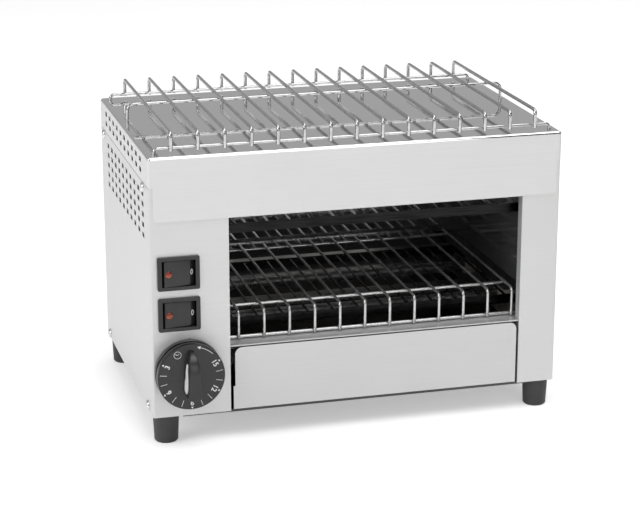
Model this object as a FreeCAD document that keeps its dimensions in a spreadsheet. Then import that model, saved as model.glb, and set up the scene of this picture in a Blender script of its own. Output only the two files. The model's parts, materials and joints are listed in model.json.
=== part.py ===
import FreeCAD, Part
import math
import os
import re

import Sketcher

Vector = FreeCAD.Vector
Rotation = FreeCAD.Rotation
Placement = FreeCAD.Placement

# Driving dimensions in millimetres. X runs across the front, Y into the body and Z up. A size called
# across, up or deep is counted from the body's left side, its underside or its front.
SIZES = {
    # outer body
    "body_width": 350, "body_depth": 225, "body_height": 220, "foot_height": 24, "wall": 1, "gap": 0.35,
    "knob_out": 29.5, "gland_out": 9,
    # folded cover, and the columns on both sides of the opening
    "band_height": 53.5, "skirt_height": 25, "band_inset": 3.5, "cover_bend": 2.5, "band_corner": 4,
    "left_column": 65.3, "right_column": 33.1, "column_bend": 2, "lip": 8, "flange": 10, "seam_gap": 0.5,
    "base_hem": 1.2,
    # vent slots in the sides and the back
    "slot_length": 8.4, "slot_height": 4.1, "slot_corner": 0.6, "slot_pitch_along": 18.2,
    "slot_pitch_up": 8.75, "slot_columns": 10, "skirt_rows": 2, "side_rows": 5,
    "skirt_slot_deep": 32.5, "skirt_slot_up": 203.3, "side_slot_deep": 25.5, "side_slot_up": 150.2,
    "back_slot_length": 24, "back_slot_pitch": 32, "back_slot_columns": 9, "back_slot_rows": 4,
    "back_slot_across": 47, "back_slot_up": 168,
    # screws in the sides and the back
    "side_screw_deep": 21.5, "side_screw_run": 187.5, "side_screw_up": 4.4, "side_screw_rise": 186.8,
    "screw_head": 4.2, "screw_dome": 2.4, "screw_shank": 1.75, "screw_hole": 2, "screw_length": 5.5,
    "back_screw_in": 7, "back_screw_up": 16, "back_screw_pitch": 72, "back_screw_rows": 3,
    # toasting chamber
    "chamber_right": 329.4, "chamber_depth": 206, "roof_up": 176, "floor_up": 47, "shelf_up": 57,
    "shelf_depth": 24, "window_side": 10, "window_front": 32, "window_front_end": 125,
    "window_back": 154, "window_back_end": 196,
    # heaters
    "heater_deep": 65, "heater_pitch": 87, "upper_heater": 163, "lower_heater": 60, "tube_radius": 5,
    "tube_bore": 3.8, "tube_end": 5, "cap_radius": 7, "cap_in": 10, "cap_out": 9, "coil_radius": 2.6,
    "pin_radius": 1, "pin_out": 14,
    # guards over the heaters
    "guard_wire": 1, "guard_strip": 8, "guard_first": 11.5, "guard_pitch": 22, "guard_wires": 12,
    "upper_guard": 155.5, "upper_guard_front": 20, "lower_guard": 69, "lower_guard_front": 36,
    "guard_back": 188,
    # wire of the two racks: long wires, and the bars across them
    "wire": 1.25, "crossbar": 1.5, "top_wire": 1.5, "top_crossbar": 1.25, "weld": 0.3, "wire_bend": 4,
    # inner rack
    "rack_across": 75.6, "rack_pitch": 21.75, "rack_wires": 12, "rack_front": 14.6, "rack_back": 199,
    "rack_up": 81.8, "rack_bar_left": 66.5, "rack_bar_right": 316.1, "rack_bar_front": 38,
    "rack_bar_back": 191, "rail_left": 8, "rail_right": 17.5,
    # top rack
    "top_pitch": 22, "top_wires": 15, "top_front": 9, "top_back": 219, "top_up": 17.2, "post_up": 2.5,
    "low_bar_up": 4.5, "low_bar_bend": 3.4, "bar_half": 167.5, "middle_bar": 130, "middle_bend": 6,
    "leg_plug": 2, "leg_hole": 1.7,
    # crumb drawer
    "drawer_left": 69.3, "drawer_right": 314.8, "drawer_up": 1.4, "drawer_top": 55.1,
    "drawer_corner": 6, "drawer_step": 1.6, "drawer_step_up": 21.5, "drawer_hem": 5,
    "tray_left": 72, "tray_right": 312, "tray_up": 3, "tray_top": 40, "tray_depth": 197, "tray_rim": 4,
    "tray_bend": 2,
    # rocker switches
    "switch_across": 23.3, "upper_switch_up": 123.1, "lower_switch_up": 88.4, "bezel_width": 34.8,
    "bezel_height": 28.2, "bezel_out": 2.4, "bezel_corner": 1.6, "housing_width": 30,
    "housing_height": 24, "housing_depth": 24, "cutout_gap": 0.25, "cavity_width": 27.8,
    "cavity_height": 22, "cavity_depth": 12, "rocker_length": 26, "rocker_height": 21.3,
    "rocker_front": 6.5, "rocker_tilt": 7, "pivot_deep": 4.5, "pivot_pin": 1.5, "pivot_gap": 0.05,
    "pivot_length": 22.7, "pivot_seat": 23.3, "lens_radius": 2.7, "lens_across": 9.3, "lens_depth": 2,
    "lens_out": 0.6, "tab_width": 6.3, "tab_wall": 0.8, "tab_length": 8, "tab_pitch": 9,
    # timer
    "knob_across": 29.4, "knob_up": 38.8, "knob_radius": 28, "knob_flange": 27.4, "knob_thick": 14,
    "knob_stand": 1.5, "knob_hollow": 25.5, "knob_groove": 4.2, "hub_radius": 6.5,
    "grip_width": 13, "grip_height": 15, "grip_low": 15.5, "grip_tip": 23, "grip_waist": 10.2,
    "grip_waist_up": 12, "grip_nose": 1.3, "grip_corner": 2.5, "grip_flat": 4.5, "grip_draft": 4,
    "pointer_half": 13, "pointer_height": 10, "pointer_up": 1.3, "pointer_wall": 0.8,
    "shaft_radius": 3, "shaft_gap": 0.05, "shaft_flat": 2.3, "shaft_hole": 5,
    "timer_size": 44, "timer_plate": 6, "timer_drum": 20, "timer_depth": 32, "timer_screw_pitch": 28,
    "timer_screw": 1.5,
    # terminal block, cord gland and earth stud
    "block_across": 10, "block_width": 40, "block_deep": 176, "block_depth": 20, "block_height": 18,
    "block_pitch": 9.5, "block_way": 2.2, "block_way_up": 6,
    "block_screw": 2, "block_inset": 5, "block_screw_length": 7, "lead_radius": 1, "lead_turn": 14,
    "link_width": 8, "link_wall": 0.8,
    "gland_across": 34, "gland_up": 30, "gland_bore": 3.9, "gland_thread": 7.5,
    "gland_flange": 11, "gland_nose": 6.5, "gland_inside": 14, "gland_nut": 10.5, "gland_nut_depth": 4.5,
    "earth_across": 22, "earth_deep": 150, "earth_radius": 2, "earth_height": 12,
    # feet
    "foot_radius": 11, "foot_toe": 9.9, "foot_sole": 8.8, "foot_inset": 12.5, "foot_recess": 6,
    "foot_recess_up": 8, "foot_screw": 2.5, "foot_screw_head": 4.5, "foot_bore": 2.75, "foot_nut": 4,
}

# Places that follow from the driving dimensions.
PLACES = {
    "LEFT": "-body_width / 2", "RIGHT": "body_width / 2",
    "FRONT": "-(body_depth + gland_out - knob_out) / 2", "BACK": "FRONT + body_depth",
    "BASE": "foot_height", "TOP": "foot_height + body_height", "SEAM": "TOP - band_height",
    "PANEL": "FRONT + wall", "OPEN_LEFT": "LEFT + left_column", "OPEN_RIGHT": "RIGHT - right_column",
    "HOT_LEFT": "OPEN_LEFT - wall", "HOT_RIGHT": "LEFT + chamber_right",
    "HOT_BACK": "FRONT + chamber_depth", "ROOF": "BASE + roof_up", "FLOOR": "BASE + floor_up",
    "SHELF": "BASE + shelf_up", "RACK": "BASE + rack_up", "BAR_DROP": "wire + crossbar - weld",
    "TOP_BAR_DROP": "top_wire + top_crossbar - weld",
    "RAIL": "RACK - BAR_DROP - crossbar - gap", "TRAY_LEFT": "LEFT + tray_left",
    "TRAY_RIGHT": "LEFT + tray_right", "TRAY_TOP": "BASE + tray_top", "RUNNER": "TRAY_TOP - wall - gap",
    "DRAWER_LEFT": "LEFT + drawer_left", "DRAWER_RIGHT": "LEFT + drawer_right",
    "SWITCH": "LEFT + switch_across", "KNOB": "LEFT + knob_across", "KNOB_UP": "BASE + knob_up",
    "PIVOT": "PANEL + pivot_deep", "KNOB_BACK": "PANEL - knob_stand", "RAILS": "TOP - skirt_height",
    "SHOULDER": "RAILS - seam_gap",
    "GLAND": "LEFT + gland_across", "GLAND_UP": "BASE + gland_up",
}

doc = FreeCAD.newDocument("toaster")
sheet = doc.addObject("Spreadsheet::Sheet", "Sizes")
for row, (alias, size) in enumerate(SIZES.items(), 1):
    sheet.set(f"A{row}", alias)
    sheet.set(f"B{row}", str(size))
    sheet.setAlias(f"B{row}", alias)
doc.recompute()

nodes = []


def rule(text):
    """Turns a rule such as 'LEFT + wall' into an expression of the sheet's cells."""
    def term(match):
        word = match.group(0)
        if word in PLACES:
            return f"({rule(PLACES[word])})"
        return f"Sizes.{word}" if word in SIZES else word
    return re.sub(r"[A-Za-z_]+", term, str(text))


def value(text):
    """The number that a rule gives."""
    return float(sheet.evalExpression(rule(text)))


def node(label, thing):
    """Keeps a finished sub-part under its name."""
    thing.Label = label
    nodes.append(thing)
    return thing


def place(thing, x="0", y="0", z="0", rotation=None):
    """Sets a thing's turn, and binds its place to the sheet."""
    if rotation is not None:
        thing.Placement.Rotation = rotation
    for axis, text in zip("xyz", (x, y, z)):
        thing.setExpression(f"Placement.Base.{axis}", rule(text))
    return thing


def block(name, x, y, z):
    """A box between two X, two Y and two Z places."""
    box = doc.addObject("Part::Box", name)
    for size, (low, high) in (("Length", x), ("Width", y), ("Height", z)):
        box.setExpression(size, rule(f"({high}) - ({low})"))
    return place(box, x[0], y[0], z[0])


TURNS = {
    "x": Rotation(Vector(0, 1, 0), 90), "-x": Rotation(Vector(0, 1, 0), -90),
    "y": Rotation(Vector(1, 0, 0), -90), "-y": Rotation(Vector(1, 0, 0), 90),
    "z": Rotation(), "-z": Rotation(Vector(1, 0, 0), 180),
}


def rod(name, radius, length, x, y, z, way="z"):
    """A round bar that starts at a place and runs one way."""
    bar = doc.addObject("Part::Cylinder", name)
    bar.setExpression("Radius", rule(radius))
    bar.setExpression("Height", rule(length))
    return place(bar, x, y, z, TURNS[way])


def join(name, *things):
    """Things that touch, as one solid."""
    fuse = doc.addObject("Part::MultiFuse", name)
    fuse.Shapes = list(things)
    fuse.Refine = True
    return fuse


def cut(name, base, *tools):
    """A thing with the tools' spaces taken out."""
    result = doc.addObject("Part::Cut", name)
    result.Base = base
    result.Tool = tools[0] if len(tools) == 1 else join(name + "_tools", *tools)
    return result


def group(name, *things):
    """Separate solids that share one node."""
    result = doc.addObject("Part::Compound", name)
    result.Links = list(things)
    return result


def plane(body, role):
    """One of a body's own planes or axes."""
    return next(feature for feature in body.Origin.OriginFeatures if feature.Role == role)


def outline(body, name, role, points, offset="0"):
    """A closed sketch of straight lines, each corner bound to the sheet."""
    sketch = body.newObject("Sketcher::SketchObject", name)
    sketch.AttachmentSupport = (plane(body, role), [""])
    sketch.MapMode = "FlatFace"
    sketch.setExpression("AttachmentOffset.Base.z", rule(offset))
    corners = [Vector(value(across), value(up), 0) for across, up in points]
    for i, corner in enumerate(corners):
        sketch.addGeometry(Part.LineSegment(corner, corners[(i + 1) % len(corners)]), False)
    for i, corner in enumerate(corners):
        sketch.addConstraint(Sketcher.Constraint("Coincident", i, 2, (i + 1) % len(corners), 1))
        for kind, axis, text, number in (("DistanceX", -2, points[i][0], corner.x),
                                         ("DistanceY", -1, points[i][1], corner.y)):
            if text == "0":
                sketch.addConstraint(Sketcher.Constraint("PointOnObject", i, 1, axis))
                continue
            index = sketch.addConstraint(Sketcher.Constraint(kind, -1, 1, i, 1, number))
            sketch.renameConstraint(index, f"{kind}{i}")
            sketch.setExpression(f"Constraints.{kind}{i}", rule(text))
    return sketch


def corners_of(across, up):
    """The four corners of a rectangle."""
    return [(across[0], up[0]), (across[1], up[0]), (across[1], up[1]), (across[0], up[1])]


def pad(body, sketch, length, draft=None):
    """Raises a sketch along its plane's normal."""
    feature = body.newObject("PartDesign::Pad", sketch.Name + "_pad")
    feature.Profile = sketch
    feature.setExpression("Length", rule(length))
    if draft:
        feature.setExpression("TaperAngle", rule(draft))
    doc.recompute()
    return feature


def pocket(body, sketch, length):
    """Sinks a sketch against its plane's normal, and makes sure that it takes something away."""
    before = body.Shape.Volume
    feature = body.newObject("PartDesign::Pocket", sketch.Name + "_pocket")
    feature.Profile = sketch
    feature.setExpression("Length", rule(length))
    doc.recompute()
    if body.Shape.Volume > before - 0.01:
        raise SystemExit(f"{sketch.Name} cuts nothing")
    return feature


def soften(body, radius, chosen):
    """Rounds the edges of a body's last feature whose middle and direction are chosen."""
    feature = body.Tip
    names = []
    for i, edge in enumerate(feature.Shape.Edges, 1):
        middle = edge.valueAt((edge.FirstParameter + edge.LastParameter) / 2)
        ends = edge.valueAt(edge.LastParameter) - edge.valueAt(edge.FirstParameter)
        if ends.Length > 1e-6 and chosen(middle, ends.normalize()):
            names.append(f"Edge{i}")
    fillet = body.newObject("PartDesign::Fillet", body.Name + "_round")
    fillet.Base = (feature, names)
    fillet.setExpression("Radius", rule(radius))
    body.Tip = fillet
    doc.recompute()
    return fillet


def based_on(name, thing):
    """A body that goes on from another thing's shape."""
    body = doc.addObject("PartDesign::Body", name)
    body.BaseFeature = thing
    doc.recompute()
    return body


def near(number, text):
    """True where a number is at the place that a rule gives."""
    return abs(number - value(text)) < 1e-3


def repeat(body, first, pitch, count, second=None, pitch_second="0", count_second="1"):
    """Repeats all of a body along one or two of its own axes."""
    pattern = body.newObject("PartDesign::LinearPattern", body.Name + "_pattern")
    pattern.TransformMode = "Whole shape"
    pattern.Direction = (plane(body, first), [""])
    pattern.setExpression("Length", rule(f"({pitch}) * ({count} - 1)"))
    pattern.setExpression("Occurrences", rule(count))
    if second:
        pattern.Direction2 = (plane(body, second), [""])
        pattern.setExpression("Length2", rule(f"({pitch_second}) * ({count_second} - 1)"))
        pattern.setExpression("Occurrences2", rule(count_second))
    body.Tip = pattern
    doc.recompute()
    return body


def turned(name, points, x, y, z, way="z"):
    """A body turned from a half outline of radius and height about its own Z."""
    body = doc.addObject("PartDesign::Body", name)
    sketch = outline(body, name + "_outline", "XZ_Plane", points)
    feature = body.newObject("PartDesign::Revolution", name + "_turn")
    feature.Profile = sketch
    feature.ReferenceAxis = (sketch, ["V_Axis"])
    feature.Angle = 360
    doc.recompute()
    return place(body, x, y, z, TURNS[way])


def slots(name, length, height, x, y, z, way, depth):
    """One long slot along its body's X, raised along its body's Z."""
    body = doc.addObject("PartDesign::Body", name)
    half, low = f"({length}) / 2", f"({height}) / 2"
    pad(body, outline(body, name + "_outline", "XY_Plane",
                      corners_of((f"-{half}", half), (f"-{low}", low))), depth)
    soften(body, "slot_corner", lambda middle, ends: abs(ends.z) > 0.9)
    return place(body, x, y, z, way)


def bent_wire(points, radius, bend=None):
    """A round wire along straight runs, joined by arcs of one radius or as large as the runs allow."""
    edges, start = [], points[0]
    for before, corner, after in zip(points, points[1:], points[2:]):
        back, ahead = before - corner, after - corner
        half = back.getAngle(ahead) / 2
        reach = bend / math.tan(half) if bend else 0.45 * min(back.Length, ahead.Length)
        back.normalize()
        ahead.normalize()
        depth = reach * (1 / math.cos(half) - math.tan(half))
        middle = corner + (back + ahead).normalize() * depth
        edges.append(Part.LineSegment(start, corner + back * reach).toShape())
        edges.append(Part.Arc(corner + back * reach, middle, corner + ahead * reach).toShape())
        start = corner + ahead * reach
    edges.append(Part.LineSegment(start, points[-1]).toShape())
    path = Part.Wire(edges)
    section = Part.Wire(Part.makeCircle(radius, points[0], points[1] - points[0]))
    return path.makePipeShell([section], True, False, 1)


def solid_feature(name, shape):
    """A shape made from the sheet's numbers, as a document object."""
    feature = doc.addObject("Part::Feature", name)
    feature.Shape = shape
    return feature


def span(side, near_edge, far_edge):
    """Two X places counted inwards from the left or the right side of the body."""
    if side == "left":
        return (f"LEFT + {near_edge}", f"LEFT + {far_edge}")
    return (f"RIGHT - ({far_edge})", f"RIGHT - ({near_edge})")


def vents():
    """Long slots through both sides: the rows in the skirts and the rows in the side walls."""
    made = []
    for name, deep, up, rows in (("skirt_vents", "skirt_slot_deep", "skirt_slot_up", "skirt_rows"),
                                 ("side_vents", "side_slot_deep", "side_slot_up", "side_rows")):
        turn = Rotation(Vector(0, 1, 0), Vector(0, 0, 1), Vector(1, 0, 0))
        body = slots(name, "slot_length", "slot_height", "LEFT - 1", f"FRONT + {deep}", f"BASE + {up}",
                     turn, "body_width + 2")
        made.append(repeat(body, "X_Axis", "slot_pitch_along", "slot_columns",
                           "Y_Axis", "slot_pitch_up", rows))
    return made


def top_cover(skirt_vents):
    """The folded cover: roof, front band, two side skirts and a lip over the opening."""
    outside = doc.addObject("PartDesign::Body", "cover_outside")
    pad(outside, outline(outside, "cover_plan", "XY_Plane",
                         corners_of(("LEFT", "RIGHT"), ("FRONT", "BACK")), "SEAM"), "band_height")
    soften(outside, "cover_bend",
           lambda middle, ends: (near(middle.y, "FRONT") and not near(middle.z, "SEAM"))
           or (near(middle.z, "TOP") and abs(ends.y) > 0.9))
    inside = block("cover_inside", ("LEFT + wall", "RIGHT - wall"), ("PANEL", "BACK + wall"),
                   ("SEAM - wall", "TOP - wall"))
    trims = [block(f"cover_trim_{side}", span(side, "-wall", "band_inset"), ("FRONT - wall", "BACK + wall"),
                   ("SEAM - wall", "TOP - skirt_height")) for side in ("left", "right")]
    holes = [rod("leg_hole", "leg_hole", "wall * 3", across, deep, "TOP - wall * 2")
             for across in ("-bar_half", "bar_half")
             for deep in ("FRONT + top_front + TOP_BAR_DROP", "FRONT + middle_bar",
                          "FRONT + top_back - TOP_BAR_DROP")]
    shell = cut("cover_shell", outside, inside, skirt_vents, *trims, *holes)
    lip = block("cover_lip", ("OPEN_LEFT", "OPEN_RIGHT"), ("PANEL", "FRONT + lip"),
                ("SEAM", "SEAM + wall"))
    body = based_on("cover_body", join("cover_joined", shell, lip))
    soften(body, "band_corner",
           lambda middle, ends: near(middle.z, "SEAM") and abs(ends.y) > 0.9
           and near(abs(middle.x), "RIGHT - band_inset"))
    return node("top_cover", body)


def switch_cutout(up):
    """The hole in the column that a switch snaps into."""
    wide, high = "(housing_width / 2 + cutout_gap)", "(housing_height / 2 + cutout_gap)"
    return block("switch_cutout", (f"SWITCH - {wide}", f"SWITCH + {wide}"), ("FRONT", "PANEL + wall * 2"),
                 (f"BASE + {up} - {high}", f"BASE + {up} + {high}"))


def screw_holes(side, radius):
    """Holes through a side for its four screws."""
    start = "LEFT - wall" if side == "left" else "RIGHT - flange"
    return [rod("side_screw_hole", radius, "flange + wall", start, f"FRONT + side_screw_deep + {run}",
                f"BASE + side_screw_up + {rise}", "x")
            for run in ("0", "side_screw_run") for rise in ("0", "side_screw_rise")]


def side_panel(side, side_vents):
    """A side wall folded round into a column of the front. Its top steps in behind the cover's skirt,
    so that the two are flush. A return flange and a back flange stiffen it."""
    column = f"{side}_column"
    edge = span(side, f"{column} - wall", column)
    parts = [
        block("side_wall", span(side, "0", "wall"), ("PANEL", "BACK"), ("BASE", "SHOULDER")),
        block("side_step", span(side, "0", "wall * 2"), ("PANEL", "BACK - wall"),
              ("SHOULDER - wall", "SHOULDER")),
        block("side_lap", span(side, "wall", "wall * 2"), ("PANEL", "BACK - wall"),
              ("SHOULDER", "RAILS + flange / 2")),
        block("corner_lap", span(side, "wall", "wall * 2"), ("PANEL", "PANEL + flange"),
              ("SHOULDER", "TOP - wall * 2")),
        block("column_face", span(side, "0", column), ("PANEL", "PANEL + wall"), ("BASE", "SHOULDER")),
        block("column_lap", span(side, "wall", column), ("PANEL", "PANEL + wall"),
              ("SHOULDER", "TOP - wall * 2")),
        block("column_return", edge, ("PANEL", "FRONT + flange"), ("BASE + wall", "SEAM")),
        block("back_flange", span(side, "0", "flange + 2"), ("BACK - wall * 2", "BACK - wall"),
              ("BASE + wall * 2", "SEAM")),
    ]
    holes = screw_holes(side, "screw_hole") + back_screw_holes(side, "screw_shank + 0.05")
    if side == "left":
        holes += [switch_cutout("upper_switch_up"), switch_cutout("lower_switch_up"),
                  rod("shaft_hole", "shaft_hole", "wall * 3", "KNOB", "FRONT", "KNOB_UP", "y")]
        holes += [rod("timer_screw_hole", "timer_screw + 0.3", "wall * 3",
                      f"KNOB {way} timer_screw_pitch / 2", "FRONT", "KNOB_UP", "y") for way in "+-"]
    cut_panel = cut(f"{side}_panel_cut", join(f"{side}_panel_sheet", *parts), side_vents, *holes)
    body = based_on(f"{side}_panel_body", cut_panel)
    corner = span(side, "0", "0")[0]
    soften(body, "column_bend",
           lambda middle, ends: abs(ends.z) > 0.9 and near(middle.x, corner) and near(middle.y, "PANEL"))
    return node(f"{side}_side_panel", body)


def back_screw_holes(side, radius):
    """Holes for the screws of one side of the back panel."""
    across = span(side, "back_screw_in", "back_screw_in")[0]
    return [rod("back_screw_hole", radius, "flange", across, "BACK - flange / 2",
                f"BASE + back_screw_up + {i} * back_screw_pitch", "y") for i in range(3)]


def back_panel():
    """A flat sheet behind the body, with vent slots and the hole for the cord gland."""
    sheet_part = block("back_sheet", ("LEFT + wall + gap", "RIGHT - wall - gap"), ("BACK - wall", "BACK"),
                       ("BASE", "TOP - wall - gap"))
    vent = slots("back_vents", "back_slot_length", "slot_height", "LEFT + back_slot_across", "BACK + 1",
                 "BASE + back_slot_up", TURNS["-y"], "wall + 2")
    repeat(vent, "X_Axis", "back_slot_pitch", "back_slot_columns", "Y_Axis", "slot_pitch_up",
           "back_slot_rows")
    gland_hole = rod("gland_hole", "gland_thread + 0.2", "flange", "GLAND", "BACK - flange / 2",
                     "GLAND_UP", "y")
    holes = back_screw_holes("left", "screw_hole") + back_screw_holes("right", "screw_hole")
    return node("back_panel", cut("back_panel_cut", sheet_part, vent, gland_hole, *holes))


def foot_places():
    """The centres of the four feet."""
    return [(across, deep) for across in ("LEFT + foot_inset", "RIGHT - foot_inset")
            for deep in ("FRONT + foot_inset", "BACK - foot_inset")]


def base_plate():
    """The bottom sheet: two side flanges, which the lower side screws hold, and a hem front and back."""
    sheet_part = block("base_sheet", ("LEFT + wall", "RIGHT - wall"),
                       ("PANEL + wall", "BACK - wall * 2"), ("BASE", "BASE + wall"))
    flanges = [block("base_flange", span(side, "wall", "wall * 2"), ("PANEL + wall", "BACK - wall * 2"),
                     ("BASE", "BASE + flange + wall")) for side in ("left", "right")]
    flanges += [block("base_hem", ("LEFT + foot_inset * 2", "RIGHT - foot_inset * 2"), deep,
                      ("BASE - base_hem", "BASE + wall"))
                for deep in (("PANEL + wall", "PANEL + wall * 2"), ("BACK - wall * 3", "BACK - wall * 2"))]
    holes = [rod("foot_hole", "foot_bore", "wall * 3", x, y, "BASE - wall") for x, y in foot_places()]
    holes += screw_holes("left", "screw_shank + 0.05") + screw_holes("right", "screw_shank + 0.05")
    holes.append(rod("earth_hole", "earth_radius", "wall * 3", "LEFT + earth_across",
                     "FRONT + earth_deep", "BASE - wall"))
    return node("base_plate", cut("base_plate_cut", join("base_joined", sheet_part, *flanges), *holes))


def cross_rails():
    """Two rails from side to side under the cover. Their end tabs take the upper side screws."""
    rails = []
    for run in ("0", "side_screw_run"):
        middle = f"FRONT + side_screw_deep + {run}"
        deep = (f"{middle} - flange / 2", f"{middle} + flange / 2")
        across = ("LEFT + wall * 2", "RIGHT - wall * 2")
        parts = [block("rail_strip", across, deep, ("RAILS", "RAILS + wall"))]
        parts += [block("rail_tab", span(side, "wall * 2", "wall * 3"), deep, ("RAILS - flange", "RAILS"))
                  for side in ("left", "right")]
        parts += [block("rail_pad", span(side, "wall", "wall * 2"), deep,
                        ("RAILS - flange", "SHOULDER - wall - 0.1")) for side in ("left", "right")]
        rails.append(join("cross_rail", *parts))
    holes = screw_holes("left", "screw_shank + 0.05") + screw_holes("right", "screw_shank + 0.05")
    rails = [cut("cross_rail_cut", rail, *(holes[:2] + holes[4:6] if i == 0 else holes[2:4] + holes[6:]))
             for i, rail in enumerate(rails)]
    return node("cross_rails", group("cross_rail_group", *rails))


def heater_places():
    """How far in and how high the four heater tubes lie."""
    return [(f"FRONT + heater_deep + {i} * heater_pitch", f"BASE + {up}")
            for i in range(2) for up in ("upper_heater", "lower_heater")]


def chamber():
    """The sheet walls round the toasting space, with the shelf in front of the rack."""
    for side, inner, way in (("left", "HOT_LEFT", -1), ("right", "HOT_RIGHT", 1)):
        def out(low, high):
            places = (f"{inner} + {way} * ({low})", f"{inner} + {way} * ({high})")
            return places if way > 0 else places[::-1]
        parts = [
            block("hot_wall", out("0", "wall"), ("PANEL + wall", "HOT_BACK"), ("BASE + wall", "ROOF")),
            block("hot_wall_foot", out("wall", "flange"), ("FRONT + flange * 2", "HOT_BACK"),
                  ("BASE + wall", "BASE + wall * 2")),
            block("hot_wall_head", out("wall", "flange"), ("FRONT + flange * 2", "HOT_BACK"),
                  ("ROOF - wall", "ROOF")),
        ]
        holes = [rod("cap_hole", "cap_radius + 0.05", "wall * 4", f"{inner} - wall * 2", deep, up, "x")
                 for deep, up in heater_places()]
        node(f"chamber_{side}_wall", cut(f"hot_{side}_cut", join(f"hot_{side}", *parts), *holes))
    node("chamber_back_wall", block("hot_back", ("HOT_LEFT - wall", "HOT_RIGHT + wall"),
                                    ("HOT_BACK", "HOT_BACK + wall"), ("BASE + wall", "ROOF")))
    node("chamber_roof", join(
        "hot_roof",
        block("roof_sheet", ("HOT_LEFT - flange", "HOT_RIGHT + flange"),
              ("FRONT + flange", "HOT_BACK + wall"), ("ROOF", "ROOF + wall")),
        block("roof_lip", ("HOT_LEFT", "HOT_RIGHT"), ("FRONT + flange", "FRONT + flange + wall"),
              ("SEAM + wall * 2", "ROOF"))))
    windows = [block("crumb_window", ("HOT_LEFT + window_side", "HOT_RIGHT - window_side"),
                     (f"FRONT + {low}", f"FRONT + {high}"), ("FLOOR - wall * 2", "FLOOR + wall"))
               for low, high in (("window_front", "window_front_end"), ("window_back", "window_back_end"))]
    floor = block("floor_sheet", ("HOT_LEFT", "HOT_RIGHT"), ("FRONT + shelf_depth", "HOT_BACK"),
                  ("FLOOR - wall", "FLOOR"))
    node("chamber_floor", cut("floor_cut", floor, *windows))
    node("rack_shelf", join(
        "shelf_joined",
        block("shelf_top", ("OPEN_LEFT + gap", "OPEN_RIGHT - gap"), ("PANEL + 0.5", "FRONT + shelf_depth"),
              ("SHELF - wall", "SHELF")),
        block("shelf_ears", ("HOT_LEFT", "HOT_RIGHT"), ("FRONT + flange + wall", "FRONT + shelf_depth"),
              ("SHELF - wall", "SHELF")),
        block("shelf_back", ("HOT_LEFT", "HOT_RIGHT"), ("FRONT + shelf_depth - wall", "FRONT + shelf_depth"),
              ("FLOOR - wall", "SHELF"))))


def rails_along(name, left_width, right_width, top, front, back):
    """A left and a right angle on the chamber walls, which something slides on."""
    pair = []
    for side, x, leg in (("left", ("HOT_LEFT", f"HOT_LEFT + {left_width}"), ("HOT_LEFT", "HOT_LEFT + wall")),
                         ("right", (f"HOT_RIGHT - {right_width}", "HOT_RIGHT"),
                          ("HOT_RIGHT - wall", "HOT_RIGHT"))):
        pair.append(join(f"{name}_{side}",
                         block("rail_run", x, (front, back), (f"{top} - wall", top)),
                         block("rail_leg", leg, (front, back), (f"{top} - flange * 0.8", top))))
    return node(name, group(name + "_group", *pair))


def crumb_drawer():
    """The tray, and the front plate with its round upper corners."""
    tray = doc.addObject("PartDesign::Body", "tray_outside")
    pad(tray, outline(tray, "tray_plan", "XY_Plane",
                      corners_of(("TRAY_LEFT", "TRAY_RIGHT"), ("PANEL + wall", "PANEL + wall + tray_depth")),
                      "BASE + tray_up"), "tray_top - tray_up")
    soften(tray, "tray_bend", lambda middle, ends: near(middle.z, "BASE + tray_up") and abs(ends.y) > 0.9)
    inside = block("tray_inside", ("TRAY_LEFT + wall", "TRAY_RIGHT - wall"),
                   ("PANEL + wall * 2", "PANEL + tray_depth"), ("BASE + tray_up + wall", "TRAY_TOP + wall"))
    rims = [block("tray_rim", x, ("PANEL + wall + flange", "PANEL + wall + tray_depth"),
                  ("TRAY_TOP - wall", "TRAY_TOP"))
            for x in (("TRAY_LEFT - tray_rim", "TRAY_LEFT"), ("TRAY_RIGHT", "TRAY_RIGHT + tray_rim"))]
    node("drawer_tray", join("tray_joined", cut("tray_cut", tray, inside), *rims))

    front = doc.addObject("PartDesign::Body", "drawer_plate")
    pad(front, outline(front, "drawer_face", "XZ_Plane",
                       corners_of(("DRAWER_LEFT", "DRAWER_RIGHT"), ("BASE + drawer_up", "BASE + drawer_top")),
                       "-(PANEL + wall)"), "wall")
    soften(front, "drawer_corner",
           lambda middle, ends: near(middle.z, "BASE + drawer_top") and abs(ends.y) > 0.9)
    step = block("drawer_step", ("DRAWER_LEFT - drawer_step", "DRAWER_LEFT"), ("PANEL", "PANEL + wall"),
                 ("BASE + drawer_up", "BASE + drawer_step_up"))
    hem = block("drawer_hem", ("DRAWER_LEFT + drawer_corner", "DRAWER_RIGHT - drawer_corner"),
                ("PANEL", "PANEL + wall + drawer_hem"), ("BASE + drawer_top - wall", "BASE + drawer_top"))
    node("drawer_front", join("drawer_joined", front, step, hem))
    rails_along("drawer_runners", "6", "16", "RUNNER", "FRONT + flange + wall", "HOT_BACK - 4")


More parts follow.
